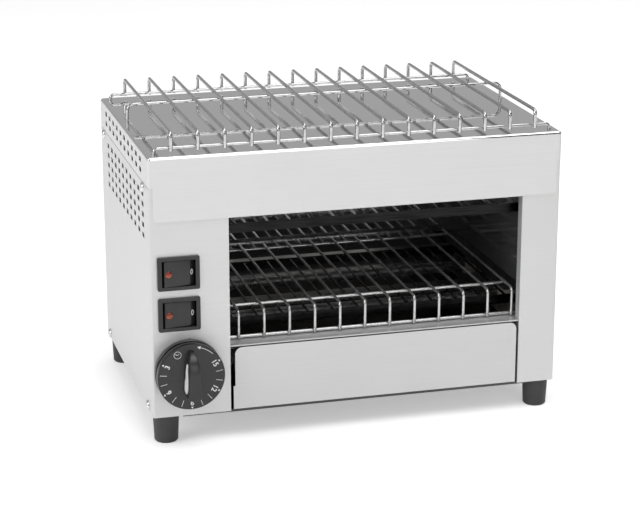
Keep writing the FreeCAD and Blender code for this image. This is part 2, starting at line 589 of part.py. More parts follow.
def heaters(level):
    """Two quartz tubes with their filaments, and a ceramic cap on each end."""
    up, deep = f"BASE + {level}_heater", "FRONT + heater_deep"
    length = "(HOT_RIGHT - HOT_LEFT - tube_end * 2)"
    tube = turned(f"{level}_tube", [("tube_bore", "0"), ("tube_radius", "0"), ("tube_radius", length),
                                    ("tube_bore", length)], "HOT_LEFT + tube_end", deep, up, "x")
    node(f"{level}_quartz_tubes", repeat(tube, "Y_Axis", "heater_pitch", "2"))
    inner, whole = "pin_out + tube_end + wall * 3", "(HOT_RIGHT - HOT_LEFT + pin_out * 2)"
    coil = turned(f"{level}_coil", [("0", "0"), ("pin_radius", "0"), ("pin_radius", inner),
                                    ("coil_radius", inner), ("coil_radius", f"{whole} - ({inner})"),
                                    ("pin_radius", f"{whole} - ({inner})"), ("pin_radius", whole),
                                    ("0", whole)], "HOT_LEFT - pin_out", deep, up, "x")
    node(f"{level}_filaments", repeat(coil, "Y_Axis", "heater_pitch", "2"))
    cap, seat = "(cap_in + cap_out)", "(cap_out + tube_end - 0.1)"
    caps = []
    for name, start, way in (("left", "HOT_LEFT - cap_out", "x"), ("right", "HOT_RIGHT + cap_out", "-x")):
        body = turned(f"{level}_cap_{name}", [
            ("pin_radius + 0.1", "0"), ("cap_radius", "0"), ("cap_radius", cap),
            ("tube_radius + 0.05", cap), ("tube_radius + 0.05", seat), ("pin_radius + 0.1", seat)],
            start, deep, up, way)
        caps.append(repeat(body, "Y_Axis", "heater_pitch", "2"))
    node(f"{level}_tube_caps", group(f"{level}_cap_group", *caps))
    half, start = "link_width / 2", "HOT_RIGHT + cap_out + 2"
    strip = block("link_strip", (start, f"{start} + link_wall"),
                  (f"{deep} - {half}", f"{deep} + heater_pitch + {half}"),
                  (f"{up} - {half}", f"{up} + {half}"))
    eyes = [rod("link_eye", "pin_radius", "wall * 3", f"{start} - wall", place_in, up, "x")
            for place_in in (deep, f"{deep} + heater_pitch")]
    node(f"{level}_heater_link", cut(f"{level}_link_cut", strip, *eyes))


def guard(level):
    """A flat grille between a heater and the bread: two strips, with wires from one to the other."""
    top, front = f"BASE + {level}_guard", f"FRONT + {level}_guard_front"
    strips = [block("guard_strip", ("HOT_LEFT", "HOT_RIGHT"), (deep, f"{deep} + wall"),
                    (f"{top} - guard_strip", top)) for deep in (front, "FRONT + guard_back")]
    wires = [rod("guard_wire", "guard_wire", f"FRONT + guard_back - ({front})",
                 f"HOT_LEFT + guard_first + {i} * guard_pitch", f"{front} + wall / 2",
                 f"{top} - guard_wire - 0.4", "y") for i in range(round(value("guard_wires")))]
    return node(f"{level}_guard", join(f"{level}_guard_joined", *strips, *wires))


def fused(name, shapes):
    """Wires welded into one solid."""
    return solid_feature(name, shapes[0].multiFuse(shapes[1:]).removeSplitter())


def inner_rack():
    """Wires with one upright end each, welded on three bars, which slides out to the front."""
    wire, bar, bend = value("wire"), value("crossbar"), value("wire_bend")
    front, back, up = value("FRONT + rack_front"), value("FRONT + rack_back"), value("RACK")
    low = value("SHELF + gap + wire * 0.4")
    shapes = []
    for i in range(round(value("rack_wires"))):
        x = value(f"LEFT + rack_across + {i} * rack_pitch")
        run = [Vector(x, front, low), Vector(x, front, up), Vector(x, back, up)]
        shapes.append(bent_wire(run, wire, bend))
    left, right = value("LEFT + rack_bar_left"), value("LEFT + rack_bar_right")
    under = value("RACK - BAR_DROP")
    for y, z in ((value("FRONT + rack_front + BAR_DROP"), value("SHELF + gap + crossbar")),
                 (value("FRONT + rack_bar_front"), under), (value("FRONT + rack_bar_back"), under)):
        shapes.append(Part.makeCylinder(bar, right - left, Vector(left, y, z), Vector(1, 0, 0)))
    return node("inner_rack", fused("inner_rack_wires", shapes))


def top_rack():
    """Fifteen arched wires on two low bars and one high one. The bars' ends plug into the cover."""
    wire, bar = value("top_wire"), value("top_crossbar")
    front, back = value("FRONT + top_front"), value("FRONT + top_back")
    low, high, floor = value("TOP + post_up"), value("TOP + top_up"), value("TOP - leg_plug")
    half, count = value("bar_half"), round(value("top_wires"))
    shapes = []
    for i in range(count):
        x = (i - (count - 1) / 2) * value("top_pitch")
        shapes.append(bent_wire([Vector(x, front, low), Vector(x, front, high), Vector(x, back, high),
                                 Vector(x, back, low)], wire, value("wire_bend")))
    for y, z, bend in ((value("FRONT + top_front + TOP_BAR_DROP"), value("TOP + low_bar_up"), "low_bar_bend"),
                       (value("FRONT + middle_bar"), high - value("TOP_BAR_DROP"), "middle_bend"),
                       (value("FRONT + top_back - TOP_BAR_DROP"), value("TOP + low_bar_up"), "low_bar_bend")):
        shapes.append(bent_wire([Vector(-half, y, floor), Vector(-half, y, z), Vector(half, y, z),
                                 Vector(half, y, floor)], bar, value(bend)))
    return node("top_rack", fused("top_rack_wires", shapes))


def switch(level):
    """A snap-in rocker switch: body with bezel, rocker on two pins, round lens and four tabs."""
    centre = f"(BASE + {level}_switch_up)"
    wide, high = "bezel_width / 2", "bezel_height / 2"
    bezel = doc.addObject("PartDesign::Body", f"{level}_bezel")
    pad(bezel, outline(bezel, f"{level}_bezel_face", "XZ_Plane",
                       corners_of((f"SWITCH - {wide}", f"SWITCH + {wide}"),
                                  (f"{centre} - {high}", f"{centre} + {high}")), "-PANEL"), "bezel_out")
    soften(bezel, "bezel_corner", lambda middle, ends: abs(ends.y) > 0.9)
    soften(bezel, "wall * 0.7", lambda middle, ends: near(middle.y, "PANEL - bezel_out"))
    wide, high = "housing_width / 2", "housing_height / 2"
    housing = block("housing", (f"SWITCH - {wide}", f"SWITCH + {wide}"), ("PANEL", "PANEL + housing_depth"),
                    (f"{centre} - {high}", f"{centre} + {high}"))
    wide, high = "cavity_width / 2", "cavity_height / 2"
    cavity = block("cavity", (f"SWITCH - {wide}", f"SWITCH + {wide}"),
                   ("PANEL - bezel_out - wall", "PANEL + cavity_depth"),
                   (f"{centre} - {high}", f"{centre} + {high}"))
    seats = rod("pivot_seats", "pivot_pin + pivot_gap", "pivot_seat", "SWITCH", "PIVOT",
                f"{centre} - pivot_seat / 2")
    node(f"{level}_switch_body", cut(f"{level}_switch_cut", join(f"{level}_switch_joined", bezel, housing),
                                     cavity, seats))

    tilt = Rotation(Vector(0, 0, 1), value("rocker_tilt"))
    rocker = doc.addObject("PartDesign::Body", f"{level}_rocker")
    half = "rocker_length / 2"
    plan = [(f"-{half}", "-rocker_front"), (f"{half} - wall * 2", "-rocker_front"),
            (half, "wall - rocker_front"), (half, "wall"), ("rocker_length / 4", "wall"),
            ("rocker_length / 4", "rocker_front - wall"), ("-rocker_length / 4", "rocker_front - wall"),
            ("-rocker_length / 4", "wall"), (f"-{half}", "wall")]
    pad(rocker, outline(rocker, f"{level}_rocker_plan", "XY_Plane", plan, "-rocker_height / 2"),
        "rocker_height")
    soften(rocker, "wall * 0.5", lambda middle, ends: near(middle.y, "-rocker_front"))
    place(rocker, "SWITCH", "PIVOT", centre, tilt)
    pins = rod("rocker_pins", "pivot_pin", "pivot_length", "SWITCH", "PIVOT", f"{centre} - pivot_length / 2")
    lens = turned(f"{level}_lens", [
        ("0", "0"), ("lens_radius", "0"), ("lens_radius", "lens_depth"),
        ("lens_radius * 0.8", "lens_depth + lens_out * 0.7"),
        ("lens_radius * 0.4", "lens_depth + lens_out * 0.95"),
        ("0", "lens_depth + lens_out")], "0", "0", "0")
    seat = Placement(Vector(-value("lens_across"), value("lens_depth - rocker_front"), 0), TURNS["-y"])
    lens.Placement = Placement(Vector(value("SWITCH"), value("PIVOT"), value(centre)), tilt).multiply(seat)
    for axis in "xyz":
        lens.setExpression(f"Placement.Base.{axis}", None)
    whole = join(f"{level}_rocker_joined", rocker, pins)
    node(f"{level}_switch_rocker", cut(f"{level}_rocker_cut", whole, lens))
    node(f"{level}_switch_lens", lens)

    tabs = doc.addObject("PartDesign::Body", f"{level}_tabs")
    pad(tabs, outline(tabs, f"{level}_tab_face", "XY_Plane",
                      corners_of(("-tab_wall / 2", "tab_wall / 2"), ("-tab_width / 2", "tab_width / 2"))),
        "tab_length")
    repeat(tabs, "X_Axis", "tab_pitch * 1.8", "2", "Y_Axis", "tab_pitch", "2")
    place(tabs, "SWITCH - tab_pitch * 0.9", "PANEL + housing_depth", f"{centre} + tab_pitch / 2", TURNS["y"])
    node(f"{level}_switch_terminals", tabs)


# The pointer's leaf shape: parts of its half length along the grip, and of its height out from the disc.
POINTER_LEAF = [(-1, 0.6), (-0.87, 0.07), (-0.27, 0.06), (-0.12, 0.21), (0.36, 0.21), (0.87, 0.36), (1, 0.6),
                (0.95, 0.74), (0.48, 0.77), (0.05, 0.94), (-0.41, 1), (-0.66, 0.97), (-0.95, 0.75)]


def knob():
    """The hollow knob with its tapered grip, the white pointer in the grip's left flank, and the shaft."""
    thick = "knob_thick"
    body = turned("knob_disc", [
        ("0", "wall"), ("hub_radius", "wall"), ("hub_radius", f"{thick} - wall * 2.5"),
        ("knob_hollow", f"{thick} - wall * 2.5"), ("knob_hollow", "0"), ("knob_flange", "0"),
        ("knob_flange", "knob_groove"), ("knob_flange - wall * 1.2", "knob_groove"),
        ("knob_flange - wall * 1.2", "knob_groove * 1.8"), ("knob_radius", "knob_groove * 1.9"),
        ("knob_radius", f"{thick} - wall"), ("knob_radius - wall", thick), ("0", thick)],
        "KNOB", "KNOB_BACK", "KNOB_UP", "-y")
    wide, waist = "grip_width / 2", "grip_waist / 2"
    flank_low = "(grip_corner - grip_low)"
    right = [("grip_nose", "grip_tip"), ("grip_waist * 0.31", "grip_tip * 0.76"), (waist, "grip_waist_up"),
             (wide, flank_low), (f"{wide} - grip_corner", "-grip_low")]
    left = [(f"-({across})", up) for across, up in reversed(right)]
    pad(body, outline(body, "grip_plan", "XY_Plane", right + left, thick), "grip_height", "-grip_draft")
    above = f"{thick} + grip_height + 0.01"
    curve = [(f"grip_flat + (grip_tip - grip_flat) * {math.sin(turn):.4f}",
              f"{thick} + wall + (grip_height - wall) * {math.cos(turn):.4f}")
             for turn in [math.radians(step * 15) for step in range(1, 7)]]
    ramp = outline(body, "grip_ramp", "YZ_Plane", [("grip_tip + 1", curve[-1][1]), ("grip_tip + 1", above),
                                                   ("grip_flat", above)] + curve, "grip_width")
    pocket(body, ramp, "grip_width * 2")
    bore = cut("shaft_seat", rod("shaft_seat_round", "shaft_radius", f"{thick} - wall * 2.5", "KNOB",
                                 "KNOB_BACK", "KNOB_UP", "-y"),
               block("shaft_seat_flat", ("KNOB - shaft_radius", "KNOB + shaft_radius"),
                     (f"KNOB_BACK - {thick}", "KNOB_BACK"),
                     ("KNOB_UP + shaft_flat", "KNOB_UP + shaft_radius")))
    pointer = doc.addObject("PartDesign::Body", "pointer_body")
    pad(pointer, outline(pointer, "pointer_face", "YZ_Plane",
                         [(f"pointer_up + pointer_half * {along}", f"pointer_height * {up}")
                          for along, up in POINTER_LEAF]), "pointer_wall")
    narrowing = value(f"({wide} - {waist}) / (grip_waist_up - {flank_low})")
    middle = value(f"{waist} + wall * 0.1") + narrowing * value("grip_waist_up")
    inward = Rotation(Vector(0, 0, 1), -math.degrees(math.atan(narrowing)))
    lean = Placement(Vector(), Rotation(Vector(0, 1, 0), value("grip_draft")))
    flank = Placement(Vector(-middle, 0, value("knob_thick + wall")), inward)
    pointer.Placement = Placement(Vector(value("KNOB"), value("KNOB_BACK"), value("KNOB_UP")),
                                  TURNS["-y"]).multiply(flank).multiply(lean)
    node("timer_knob", cut("knob_cut", body, bore, pointer))
    node("timer_pointer", pointer)

    shaft = rod("shaft_round", "shaft_radius", "knob_thick + flange * 1.4", "KNOB",
                "KNOB_BACK - knob_thick + wall * 3.5", "KNOB_UP", "y")
    flat = block("shaft_flat_cut", ("KNOB - shaft_radius", "KNOB + shaft_radius"),
                 ("KNOB_BACK - knob_thick", "KNOB_BACK"), ("KNOB_UP + shaft_flat", "KNOB_UP + shaft_radius"))
    node("timer_shaft", cut("shaft_cut", shaft, flat))


def timer_works():
    """The clockwork behind the column: plate and drum, two screws and the tabs."""
    half = "timer_size / 2"
    plate = doc.addObject("PartDesign::Body", "timer_front")
    pad(plate, outline(plate, "timer_face", "XZ_Plane",
                       corners_of((f"KNOB - {half}", f"KNOB + {half}"),
                                  (f"KNOB_UP - {half}", f"KNOB_UP + {half}")),
                       "-(PANEL + wall + timer_plate)"), "timer_plate")
    soften(plate, "wall * 4", lambda middle, ends: abs(ends.y) > 0.9)
    drum = rod("timer_drum", "timer_drum", "timer_depth", "KNOB", "PANEL + wall", "KNOB_UP", "y")
    bore = rod("timer_bore", "shaft_radius + shaft_gap", "flange * 2", "KNOB", "FRONT", "KNOB_UP", "y")
    seats = [rod("timer_screw_seat", "timer_screw", "wall * 6", f"KNOB {way} timer_screw_pitch / 2", "FRONT",
                 "KNOB_UP", "y") for way in "+-"]
    node("timer_body", cut("timer_cut", join("timer_joined", plate, drum), bore, *seats))
    screws = turned("timer_screw_shape", [
        ("0", "0"), ("timer_screw", "0"), ("timer_screw", "wall * 5"), ("timer_screw * 1.9", "wall * 5"),
        ("timer_screw * 1.9", "wall * 6"), ("timer_screw * 1.3", "wall * 6.8"), ("0", "wall * 6.8")],
                    "KNOB - timer_screw_pitch / 2", "PANEL + wall * 5", "KNOB_UP", "-y")
    node("timer_screws", repeat(screws, "X_Axis", "timer_screw_pitch", "2"))
    tabs = doc.addObject("PartDesign::Body", "timer_tabs")
    pad(tabs, outline(tabs, "timer_tab_face", "XY_Plane",
                      corners_of(("-tab_wall / 2", "tab_wall / 2"), ("-tab_width / 2", "tab_width / 2"))),
        "tab_length")
    repeat(tabs, "X_Axis", "tab_pitch", "3")
    place(tabs, "KNOB - tab_pitch", "PANEL + wall + timer_depth", "KNOB_UP", TURNS["y"])
    node("timer_terminals", tabs)


def screws_all_round():
    """Domed screws in both sides and the back."""
    dome = [("0", "0"), ("screw_shank", "0"), ("screw_shank", "screw_length"),
            ("screw_head", "screw_length"), ("screw_head", "screw_length + screw_dome * 0.4"),
            ("screw_head * 0.75", "screw_length + screw_dome * 0.85"),
            ("screw_head * 0.35", "screw_length + screw_dome"),
            ("0", "screw_length + screw_dome")]
    lowest = "BASE + side_screw_up"
    highest = f"{lowest} + side_screw_rise"
    for side, start, up, way in (("left", "LEFT + screw_length", lowest, "-x"),
                                 ("right", "RIGHT - screw_length", highest, "x")):
        body = turned(f"{side}_screw", dome, start, "FRONT + side_screw_deep", up, way)
        node(f"{side}_side_screws", repeat(body, "X_Axis", "side_screw_rise", "2",
                                           "Y_Axis", "side_screw_run", "2"))
    body = turned("back_screw", dome, "LEFT + back_screw_in", "BACK - screw_length",
                  "BASE + back_screw_up + back_screw_pitch * 2", "y")
    node("back_screws", repeat(body, "X_Axis", "body_width - back_screw_in * 2", "2",
                               "Y_Axis", "back_screw_pitch", "back_screw_rows"))


def connections():
    """The terminal block with its screws, the cord gland with its nut, and the earth stud with its nut."""
    x = ("LEFT + block_across", "LEFT + block_across + block_width")
    y = ("FRONT + block_deep", "FRONT + block_deep + block_depth")
    middle, way_up = "LEFT + block_across + block_width / 2", "BASE + wall + block_way_up"
    lines = [f"{middle} + ({i} - 1.5) * block_pitch" for i in range(4)]
    ways = [rod("block_way", "block_way", "block_depth + 2", across, "FRONT + block_deep - 1", way_up, "y")
            for across in lines]
    wells = [rod("block_well", "block_screw", "block_height", across, f"FRONT + block_deep + {deep}", way_up)
             for across in lines for deep in ("block_inset", "block_depth - block_inset")]
    solid = block("block_solid", x, y, ("BASE + wall", "BASE + wall + block_height"))
    node("terminal_block", cut("block_cut", solid, *ways, *wells))
    head = "block_screw_length * 0.7"
    screw = turned("block_clamp", [
        ("0", "0"), ("block_screw * 0.7", "0"), ("block_screw * 0.7", head), ("block_screw", head),
        ("block_screw", "block_screw_length"), ("0", "block_screw_length")],
        f"{middle} - block_pitch * 1.5", "FRONT + block_deep + block_inset", f"{way_up} + block_way + 0.3")
    node("terminal_screws", repeat(screw, "X_Axis", "block_pitch", "4",
                                   "Y_Axis", "block_depth - block_inset * 2", "2"))

    inside = "(gland_inside + wall)"
    gland = turned("gland", [
        ("gland_bore", "0"), ("gland_thread", "0"), ("gland_thread", inside), ("gland_flange", inside),
        ("gland_flange", f"{inside} + 3.5"), ("gland_flange - 1.5", f"{inside} + 4.5"),
        ("gland_nose + 1", f"{inside} + gland_out - 1"), ("gland_nose", f"{inside} + gland_out"),
        ("gland_bore", f"{inside} + gland_out")], "GLAND", f"BACK - {inside}", "GLAND_UP", "y")
    node("cord_gland", gland)
    nut = doc.addObject("Part::Prism", "gland_nut_hexagon")
    nut.Polygon = 6
    nut.setExpression("Circumradius", rule("gland_nut"))
    nut.setExpression("Height", rule("gland_nut_depth"))
    place(nut, "GLAND", "BACK - wall - gland_nut_depth", "GLAND_UP", TURNS["y"])
    node("gland_nut", cut("gland_nut_cut", nut, rod("gland_nut_bore", "gland_thread", "flange", "GLAND",
                                                    "BACK - flange", "GLAND_UP", "y")))
    node("earth_stud", rod("earth_rod", "earth_radius", "earth_height", "LEFT + earth_across",
                           "FRONT + earth_deep", "BASE"))
    hexagon = doc.addObject("Part::Prism", "earth_hexagon")
    hexagon.Polygon = 6
    hexagon.setExpression("Circumradius", rule("earth_radius * 2"))
    hexagon.setExpression("Height", rule("earth_radius * 1.6"))
    place(hexagon, "LEFT + earth_across", "FRONT + earth_deep", "BASE + wall")
    node("earth_nut", cut("earth_nut_cut", hexagon, rod("earth_nut_bore", "earth_radius", "flange",
                                                        "LEFT + earth_across", "FRONT + earth_deep", "BASE")))


def lead(*points):
    """One insulated wire through places that are given as rules."""
    return bent_wire([Vector(*(value(text) for text in point)) for point in points], value("lead_radius"))


def wiring():
    """The leads in the bay between the left side and the chamber."""
    tab_end, timer_end = "PANEL + housing_depth + tab_length", "PANEL + wall + timer_depth + tab_length"
    inner, outer = "SWITCH + tab_pitch * 0.9", "SWITCH - tab_pitch * 0.9"
    half, pin, away = "tab_pitch / 2", "HOT_LEFT - pin_out", "HOT_LEFT - pin_out - lead_turn"
    near_end, far_end = "FRONT + heater_deep", "FRONT + heater_deep + heater_pitch"
    block_end, way_up = "FRONT + block_deep", "BASE + wall + block_way_up"
    ways = [f"LEFT + block_across + block_width / 2 + ({i} - 1.5) * block_pitch" for i in range(4)]
    upper, lower = "BASE + upper_switch_up", "BASE + lower_switch_up"
    leads = {
        "heater_leads": [lead(
            (inner, tab_end, f"{switch_up} {way} {half}"),
            (inner, f"{tab_end} + lead_turn", f"{switch_up} {way} {half}"),
            (away, near_end, f"BASE + {heater}"), (pin, near_end, f"BASE + {heater}"))
            for switch_up, way, heater in ((upper, "+", "upper_heater"), (lower, "-", "lower_heater"))],
        "switch_leads": [
            lead(("KNOB - tab_pitch", timer_end, "KNOB_UP"),
                 ("KNOB - tab_pitch", f"{timer_end} + lead_turn", "KNOB_UP"),
                 (outer, f"{timer_end} + lead_turn", f"{lower} - {half}"),
                 (outer, tab_end, f"{lower} - {half}")),
            lead((outer, tab_end, f"{lower} + {half}"),
                 (outer, f"{tab_end} + lead_turn", f"{lower} + {half}"),
                 (outer, f"{tab_end} + lead_turn", f"{upper} - {half}"),
                 (outer, tab_end, f"{upper} - {half}"))],
        "supply_leads": [
            lead((ways[3], block_end, way_up), (ways[3], f"{block_end} - lead_turn", way_up),
                 ("KNOB + tab_pitch", f"{timer_end} + lead_turn", "KNOB_UP"),
                 ("KNOB + tab_pitch", timer_end, "KNOB_UP"))] + [
            lead((pin, far_end, f"BASE + {heater}"), (away, far_end, f"BASE + {heater}"),
                 (way, f"{block_end} - lead_turn", "BASE + lower_heater * 0.7"),
                 (way, f"{block_end} - lead_turn", way_up), (way, block_end, way_up))
            for way, heater in ((ways[1], "upper_heater"), (ways[2], "lower_heater"))],
        "earth_lead": [lead(
            (ways[0], block_end, way_up), (ways[0], f"{block_end} - lead_turn", way_up),
            ("LEFT + earth_across", "FRONT + earth_deep", "BASE + earth_height * 2"),
            ("LEFT + earth_across", "FRONT + earth_deep", "BASE + earth_height"))],
    }
    for name, shapes in leads.items():
        node(name, solid_feature(name + "_wires", Part.makeCompound(shapes)))


def feet():
    """Four tapered rubber feet, each with a screw in its recess and a nut above the base plate."""
    x, y = "LEFT + foot_inset", "FRONT + foot_inset"
    grid = ("X_Axis", "body_width - foot_inset * 2", "2", "Y_Axis", "body_depth - foot_inset * 2", "2")
    foot = turned("foot", [
        ("foot_bore", "foot_recess_up"), ("foot_recess", "foot_recess_up"), ("foot_recess", "0"),
        ("foot_sole", "0"), ("foot_toe", "1.2"), ("foot_radius", "foot_height"),
        ("foot_bore", "foot_height")],
        x, y, "0")
    node("feet", repeat(foot, *grid))
    screw = turned("foot_screw", [
        ("0", "foot_recess_up - 3"), ("foot_screw_head - 1", "foot_recess_up - 3"),
        ("foot_screw_head", "foot_recess_up - 2"), ("foot_screw_head", "foot_recess_up"),
        ("foot_screw", "foot_recess_up"), ("foot_screw", "BASE + wall + foot_nut + 2"),
        ("0", "BASE + wall + foot_nut + 2")], x, y, "0")
    node("foot_screws", repeat(screw, *grid))
    nuts = []
    for across, deep in foot_places():
        hexagon = doc.addObject("Part::Prism", "foot_nut_hexagon")
        hexagon.Polygon = 6
        hexagon.setExpression("Circumradius", rule("foot_nut * 1.15"))
        hexagon.setExpression("Height", rule("foot_nut"))
        place(hexagon, across, deep, "BASE + wall")
        bore = rod("foot_nut_bore", "foot_screw", "foot_nut * 3", across, deep, "BASE")
        nuts.append(cut("foot_nut_cut", hexagon, bore))
    node("foot_nuts", group("foot_nut_group", *nuts))


skirt_vents, side_vents = vents()
top_cover(skirt_vents)
side_panel("left", side_vents)
side_panel("right", side_vents)
back_panel()
base_plate()
cross_rails()
chamber()
rails_along("rack_rails", "rail_left", "rail_right", "RAIL", "FRONT + shelf_depth + 2", "HOT_BACK - 2")
crumb_drawer()
for level in ("upper", "lower"):
    heaters(level)
    guard(level)
    switch(level)
inner_rack()
top_rack()
knob()
timer_works()
screws_all_round()
connections()
wiring()
feet()
doc.recompute()

for thing in doc.Objects:
    if any(word in state for state in thing.State for word in ("Invalid", "Error")):
        raise SystemExit(f"{thing.Label} failed: {thing.State}")
for thing in nodes:
    if thing.Shape.isNull() or not thing.Shape.isValid() or not thing.Shape.Solids:
        raise SystemExit(f"{thing.Label} has no valid solid")

os.makedirs("parts", exist_ok=True)
for thing in nodes:
    thing.Shape.exportStep(f"parts/{thing.Label}.step")
    print(f"{thing.Label}: {len(thing.Shape.Solids)} solids, {thing.Shape.Volume:.0f} mm3")
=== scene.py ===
# %% [markdown]
# A small catering toaster of folded stainless steel: a wire rack in an open chamber, a second rack on its
# roof, a crumb drawer, two rocker switches and a clockwork timer. Its solids come from the CAD model as a
# fixed frame, in metres, so everything added here is placed by the corners of those solids. The picture is
# set up first, because every finish is judged by what the camera and the light make of it.

# %% Load the frame
import json
from math import atan, cos, pi, radians, sin

import bmesh
import bpy
from mathutils import Matrix, Vector


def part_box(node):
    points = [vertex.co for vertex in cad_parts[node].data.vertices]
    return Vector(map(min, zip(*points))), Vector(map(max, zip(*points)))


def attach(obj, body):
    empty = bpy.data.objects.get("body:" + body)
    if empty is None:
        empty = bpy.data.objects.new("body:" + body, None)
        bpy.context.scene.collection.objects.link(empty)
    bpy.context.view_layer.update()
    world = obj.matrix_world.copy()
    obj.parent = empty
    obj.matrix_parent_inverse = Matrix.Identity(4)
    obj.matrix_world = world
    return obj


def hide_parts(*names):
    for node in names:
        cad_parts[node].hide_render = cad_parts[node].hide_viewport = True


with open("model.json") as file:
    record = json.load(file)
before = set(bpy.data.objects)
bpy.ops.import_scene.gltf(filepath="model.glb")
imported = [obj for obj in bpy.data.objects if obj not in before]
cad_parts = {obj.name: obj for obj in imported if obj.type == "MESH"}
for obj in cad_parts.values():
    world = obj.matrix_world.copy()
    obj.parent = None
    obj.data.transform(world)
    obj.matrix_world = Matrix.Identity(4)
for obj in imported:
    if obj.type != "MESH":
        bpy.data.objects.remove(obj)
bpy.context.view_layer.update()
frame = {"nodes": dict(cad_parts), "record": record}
nodes = frame["nodes"]
MM = 0.001

# %% [markdown]
# The camera stands in front of the toaster, a little to the left and above it, far away with a long lens, as
# a studio photographer does to keep the sides of a box parallel. Its place is written as an azimuth, an
# elevation and a distance from the point it looks at, which is easier to read than raw coordinates.

# %% Camera
AZIMUTH = radians(-15.25)
ELEVATION = radians(17.0)
DISTANCE = 1.7632
LOOK_AT = Vector((-0.00538, 0.002, 0.11924))
SENSOR = 36.0
FOCAL_RATIO = 3.1513

away = Vector((sin(AZIMUTH) * cos(ELEVATION), -cos(AZIMUTH) * cos(ELEVATION), sin(ELEVATION)))
bpy.ops.object.camera_add(location=LOOK_AT + away * DISTANCE)
camera = bpy.context.object
camera.name = "studio_camera"
camera.rotation_euler = (-away).to_track_quat("-Z", "Y").to_euler()
camera.data.sensor_width = SENSOR
camera.data.lens = SENSOR * FOCAL_RATIO
bpy.context.scene.camera = camera
bpy.context.scene.view_settings.view_transform = "Standard"
print("camera at", [round(c, 3) for c in camera.location], "lens", round(camera.data.lens, 1), "mm")

# %% [markdown]
# Every finish is a small tree of shader nodes. A few helpers keep such a tree short: one adds a node and
# fills its sockets, with a number or with another node's output, and one makes a material whose shader has
# its plain values set. A pattern always reads the object's own coordinates, which are metres here, so a scale
# of 1000 gives one cell per millimetre.

# %% Helpers for finishes
def fill(tree, node, values):
    """Fills a node's sockets by name, with a plain value or with another node's socket."""
    for name, value in values.items():
        if isinstance(value, bpy.types.NodeSocket):
            tree.links.new(value, node.inputs[name])
        else:
            node.inputs[name].default_value = value


def add(tree, kind, values=None, **settings):
    """Adds a node to a tree, sets it up and fills its sockets."""
    node = tree.nodes.new("ShaderNode" + kind)
    for name, setting in settings.items():
        setattr(node, name, setting)
    fill(tree, node, values or {})
    return node


def math(tree, operation, first, second=0.0):
    """One sum of two numbers, each a plain value or a socket."""
    return add(tree, "Math", {0: first, 1: second}, operation=operation).outputs[0]


def finish_of(name, values):
    """A new material with its shader's own values set: returns the material, its tree and its shader."""
    material = bpy.data.materials.new(name)
    material.use_nodes = True
    tree = material.node_tree
    shader = tree.nodes["Principled BSDF"]
    fill(tree, shader, values)
    return material, tree, shader


def grey(level):
    """A neutral colour."""
    return (level, level, level, 1.0)


def own_place(tree, scale=(1.0, 1.0, 1.0)):
    """The piece's own coordinates in metres, stretched by scale."""
    place = add(tree, "TexCoord")
    return add(tree, "Mapping", {"Vector": place.outputs["Object"], "Scale": scale}).outputs["Vector"]


def facing(tree, axis, above):
    """1 where the surface faces along an axis, either way, by more than a share of 1. 0 elsewhere."""
    turned_to = add(tree, "SeparateXYZ", {"Vector": add(tree, "TexCoord").outputs["Normal"]}).outputs[axis]
    return math(tree, "GREATER_THAN", math(tree, "ABSOLUTE", turned_to), above)


def noise(tree, vector, scale, detail=2.0):
    """Soft random values, most of them between 0.3 and 0.7."""
    values = {"Vector": vector, "Scale": scale, "Detail": detail}
    return add(tree, "TexNoise", values).outputs["Fac"]


def mix(tree, share, first, second):
    """First where share is 0, second where it is 1. Both are numbers, or sockets that give numbers."""
    return add(tree, "Mix", {"Factor": share, "A": first, "B": second}).outputs["Result"]


def between(tree, value, low, high):
    """The middle of a noise, spread from low to high."""
    values = {"Value": value, "From Min": 0.3, "From Max": 0.7, "To Min": low, "To Max": high}
    return add(tree, "MapRange", values).outputs["Result"]


def colours(tree, value, dark, light):
    """The middle of a noise, turned into colours from dark to light."""
    ramp = add(tree, "ValToRGB", {"Fac": value})
    for element, position, colour in zip(ramp.color_ramp.elements, (0.3, 0.7), (dark, light)):
        element.position = position
        element.color = colour
    return ramp.outputs["Color"]


def bump(tree, height, distance):
    """Small hills and dips, distance metres high."""
    return add(tree, "Bump", {"Height": height, "Distance": distance}).outputs["Normal"]

# %% [markdown]
# Sheet steel leaves the mill with a satin grain: fine scratches that all run one way. It is made with noise
# that is squeezed across the grain and long along it. The grain runs from left to right on the front and the
# roof, and from front to back on the side walls, so two such noises are mixed by which way the sheet faces.
# Faint smudges, from wiping, change the gloss over a hand's width. The upright sheets are satin, so fine that
# part of their light is scattered like paint, and the roof, seen at a low angle, mirrors the wires above it.
# Upright and level faces therefore have a gloss and a share of pure metal of their own. Heat has tinted the
# sheets of the chamber, and their greys also hold painted shade and light: its left wall and its roof are
# dark mirrors, the back wall is smoked and a little paler, and the right wall, where the light falls, is
# palest and has a haze that scatters the most light.

# %% Brushed sheet
ALONG_GRAIN, ACROSS_GRAIN = 12.0, 1500.0


